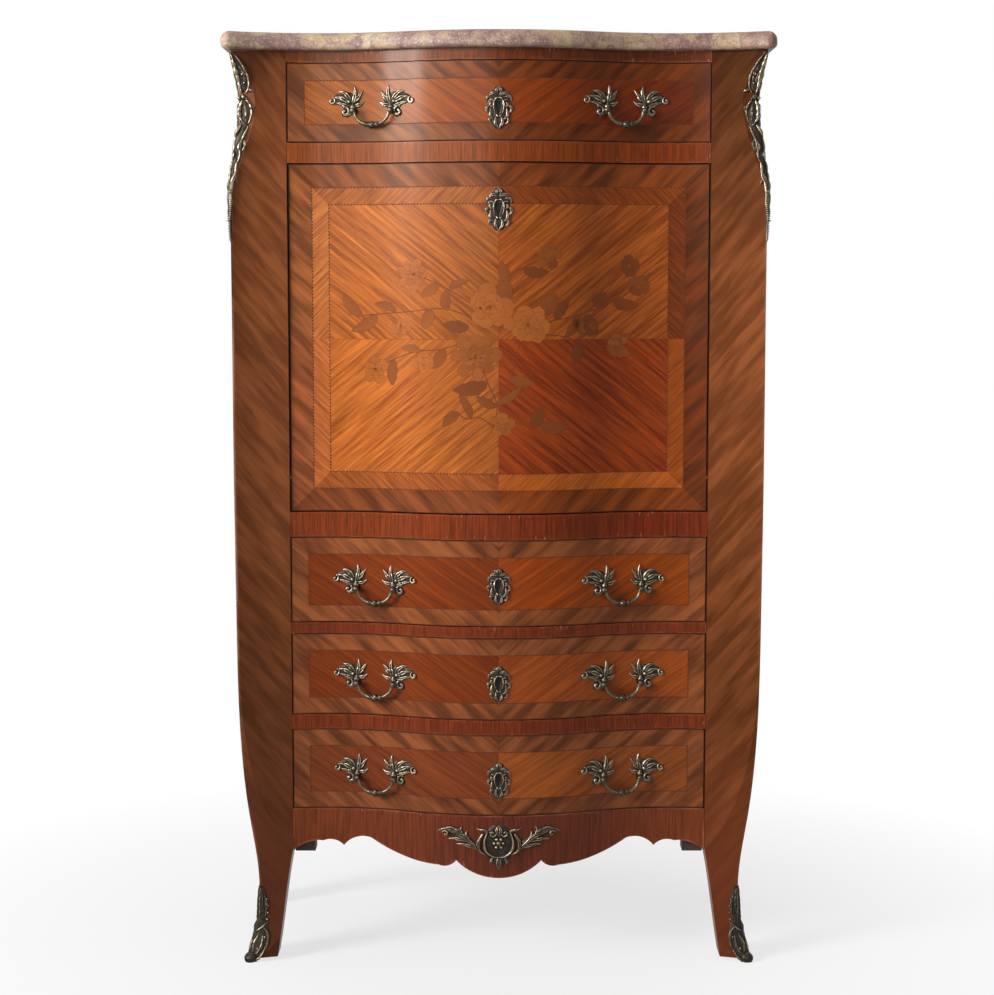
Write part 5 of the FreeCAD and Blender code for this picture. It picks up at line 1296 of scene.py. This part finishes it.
SABOT_SIDE = [
    plate(((3, 109), (5, 92), (6, 76), (7, 54)), 16, 2.2),
    plate(((6, 58), (11, 40), (12, 24), (7, 5)), 25, 2.2),
    leaf(((2, 46), (7, 50), (12, 54), (18, 58)), 4.0, 4.4, 0, 0.0),
    leaf(((9, 52), (19, 42), (23, 27), (20, 14)), 5.0, 4.6, 0, 0.2),
    leaf(((21, 17), (17, 7), (11, 4), (4, 4)), 5.0, 4.6, 0, 0.2),
    leaf(((13, 37), (14, 25), (11, 15), (6, 11)), 5.0, 5.0, 0, 0.2),
    leaf(((6, 42), (3, 30), (3, 20), (6, 11)), 5.0, 4.2, 2),
    leaf(((2, 107), (3, 90), (3, 74), (4, 58)), 8.0, 4.2, 5, 0.25),
    leaf(((7, 98), (11, 86), (12, 74), (11, 60)), 5.5, 3.8, 6, 0.2), bead((11, 92), 2.0, 3.6),
    bead((14, 82), 2.0, 3.6), bead((15, 72), 2.0, 3.6), bead((15, 62), 2.2, 3.8), bead((16, 36), 2.4, 4.2),
    bead((9, 20), 2.6, 4.6), bead((3, 6), 8.5, 6.6)]
SABOT = SABOT_SIDE + flipped(SABOT_SIDE)
SABOT_POLISH = 0.9
corner_grid = chase(CORNER_MOUNT, (-18, -2), (29, 271))
sabot_grid = chase(SABOT, (-27, 0), (27, 111))
for name, side in (("left", -1.0), ("right", 1.0)):
    for node, grid, polish in (("corner_mount", corner_grid, 1.0), ("sabot", sabot_grid, SABOT_POLISH)):
        seat = arris_seat(f"front_post_{name}", side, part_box(f"{node}_{name}")[0].z)
        casting = Casting()
        casting.relief(*grid, seat, ridges(grid[2]) * polish)
        casting.piece(f"{node}_{name}_cast", "carcase", f"{node}_{name}")

apron_low, apron_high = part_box("apron_mount")
BRANCH = [
    plate(((5, 25), (9, 12), (8, -4), (3, -17)), 30, 2.2),
    plate(((28, 0), (42, 9), (58, 19), (82, 25)), 10, 1.8),
    leaf(((30, -2), (41, 8), (52, 17), (66, 23), (80, 27), (90, 24)), 8, 5.4, 0, 0.35),
    leaf(((44, 10), (58, 21), (73, 28), (89, 23)), 12, 5.0, 4),
    leaf(((34, 0), (44, 3), (54, 5), (63, 5)), 6.5, 4.4, 2),
    leaf(((46, 10), (56, 12), (65, 13), (75, 12)), 7.5, 4.6, 3),
    leaf(((41, 6), (45, 13), (48, 19), (47, 25)), 6.5, 4.6, 2),
    leaf(((52, 17), (55, 22), (56, 27), (54, 31)), 5.5, 4.4, 2), scroll((78, 20), 5, 0.8, 20, 3.4, 5.4),
    leaf(((24, 20), (30, 8), (28, -4), (18, -11)), 7, 5.6, 0, 0.1),
    leaf(((17, 23), (21, 9), (18, -5), (7, -13), (-4, -14)), 5.4, 6.4, 0, 0.0),
    leaf(((17, 25), (23, 27), (27, 27), (33, 29)), 4.2, 4.2), scroll((9, 22), 5.4, 0.9, 190, 3.6, 5.4),
    leaf(((0, 19), (3, 25), (2, 30), (0, 34)), 6, 5.0),
    leaf(((9, -15), (11, -19), (12, -22), (10, -25)), 4.6, 3.8),
    leaf(((0, -14), (2, -21), (1, -27), (0, -33)), 5.4, 4.2)]
BERRY_RING, BERRY_HEIGHT, BERRY_TURN, BERRIES = 6.5, 7, 5.24, 6
APRON_MOUNT = BRANCH + flipped(BRANCH) + [bead((0, BERRY_HEIGHT), 5.0, 6.6)]
APRON_MOUNT += [bead((BERRY_RING * math.cos(turn), BERRY_HEIGHT + BERRY_RING * math.sin(turn)), 3.4, 5.4)
                for turn in np.linspace(0, BERRY_TURN, BERRIES)]
APRON_SEAT = 0.02
across, up, height = chase(APRON_MOUNT, (-93, -36), (93, 36))
apron_line = front_line("apron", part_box("apron")[1].z - APRON_SEAT)
seat = on_front(apron_line, 0.0, (apron_low.z + apron_high.z) / 2)
casting = Casting()
casting.relief(across, up, height, seat, ridges(height))
casting.piece("apron_cast_mount", "carcase", "apron_mount")


# Room: a pale floor, a white surround and a large soft window to the left of the piece.
# The lit wall and the casement show only in the polish, as the sheen on the upper left of the front.
# The camera stands in front, at the height of the fall, with a long lens.
def pale_floor():
    """Pale boards near the piece that keep its shadow, and white further off."""
    material, tree, shader = new_finish("pale_floor", Base_Color=srgb(240, 240, 240), Roughness=0.9)
    x, y, z = split(tree, own_place(tree))
    far = maths(tree, "POWER", plus(tree, times(tree, x, x), times(tree, y, y)), 0.5)
    path = put(tree, "ShaderNodeLightPath").outputs
    seen = larger(tree, path["Is Camera Ray"],
                  larger(tree, path["Is Glossy Ray"], path["Is Transmission Ray"]))
    share = times(tree, span(tree, far, SHADOW_START, SHADOW_END, 0.7, 1.0), seen)
    white = put(tree, "ShaderNodeEmission", {"Color": (1.0, 1.0, 1.0, 1.0), "Strength": 1.0}).outputs[0]
    mixed = put(tree, "ShaderNodeMixShader", {0: share, 1: shader.outputs[0], 2: white}).outputs[0]
    tree.links.new(mixed, tree.nodes["Material Output"].inputs["Surface"])
    return material


FLOOR_REACH, SHADOW_START, SHADOW_END = 30.0, 0.3, 1.1
floor_corners = [(x * FLOOR_REACH, y * FLOOR_REACH, 0) for x, y in ((-1, -1), (1, -1), (1, 1), (-1, 1))]
floor = new_piece("floor", floor_corners, [(0, 1, 2, 3)])
floor.data.materials.append(pale_floor())


def soft_lamp(name, place, target, width, height, power, spread=180.0, only_gloss=False):
    """A rectangular lamp, in metres, watts and degrees; one for the gloss alone leaves the colours unlit."""
    light = bpy.data.lights.new(name, "AREA")
    light.shape = "RECTANGLE"
    light.size, light.size_y, light.energy, light.spread = width, height, power, math.radians(spread)
    lamp = bpy.data.objects.new(name, light)
    lamp.location = place
    lamp.rotation_euler = (Vector(target) - Vector(place)).to_track_quat("-Z", "Y").to_euler()
    lamp.visible_diffuse = not only_gloss
    bpy.context.scene.collection.objects.link(lamp)


FALL_CENTRE = (0.0, -0.15, 0.95)
soft_lamp("window", (-2.8, -1.8, 1.9), (-0.1, -0.15, 1.15), width=1.3, height=1.8, power=30.0, spread=60.0)
soft_lamp("fill", (-0.4, -3.8, 1.1), FALL_CENTRE, width=2.4, height=2.4, power=8.0)
soft_lamp("overhead", (0.0, -0.6, 3.2), (0.0, 0.0, 1.0), width=2.2, height=2.2, power=6.0)
soft_lamp("lit_wall", (-1.60, -2.78, 1.85), (-0.14, -0.16, 1.85), width=3.0, height=1.6, power=74.0,
          only_gloss=True)
soft_lamp("casement", (-2.07, -2.46, 2.0), (-0.14, -0.16, 2.0), width=0.4, height=1.0, power=60.0,
          only_gloss=True)

world = bpy.data.worlds.new("surround")
bpy.context.scene.world = world
world.use_nodes = True
sky = world.node_tree
path = put(sky, "ShaderNodeLightPath").outputs
AMBIENT = 0.24
mirrored = larger(sky, path["Is Glossy Ray"], path["Is Transmission Ray"])
level = span(sky, larger(sky, path["Is Camera Ray"], mirrored), 0.0, 1.0, AMBIENT, 1.0)
sky.links.new(level, sky.nodes["Background"].inputs["Strength"])
sky.nodes["Background"].inputs["Color"].default_value = (1.0, 1.0, 1.0, 1.0)

FILM_WIDTH, LENS = 36.0, 75.08
CAMERA_PLACE, CAMERA_DIP = (-0.0026, -3.167, 1.0023), 5.768
view = bpy.data.cameras.new("view")
view.sensor_fit = "HORIZONTAL"
view.sensor_width = FILM_WIDTH
view.lens = LENS
camera = bpy.data.objects.new("view", view)
camera.location = CAMERA_PLACE
camera.rotation_euler = (math.radians(90.0 - CAMERA_DIP), 0.0, 0.0)
bpy.context.scene.collection.objects.link(camera)
bpy.context.scene.camera = camera
bpy.context.scene.view_settings.view_transform = "Standard"
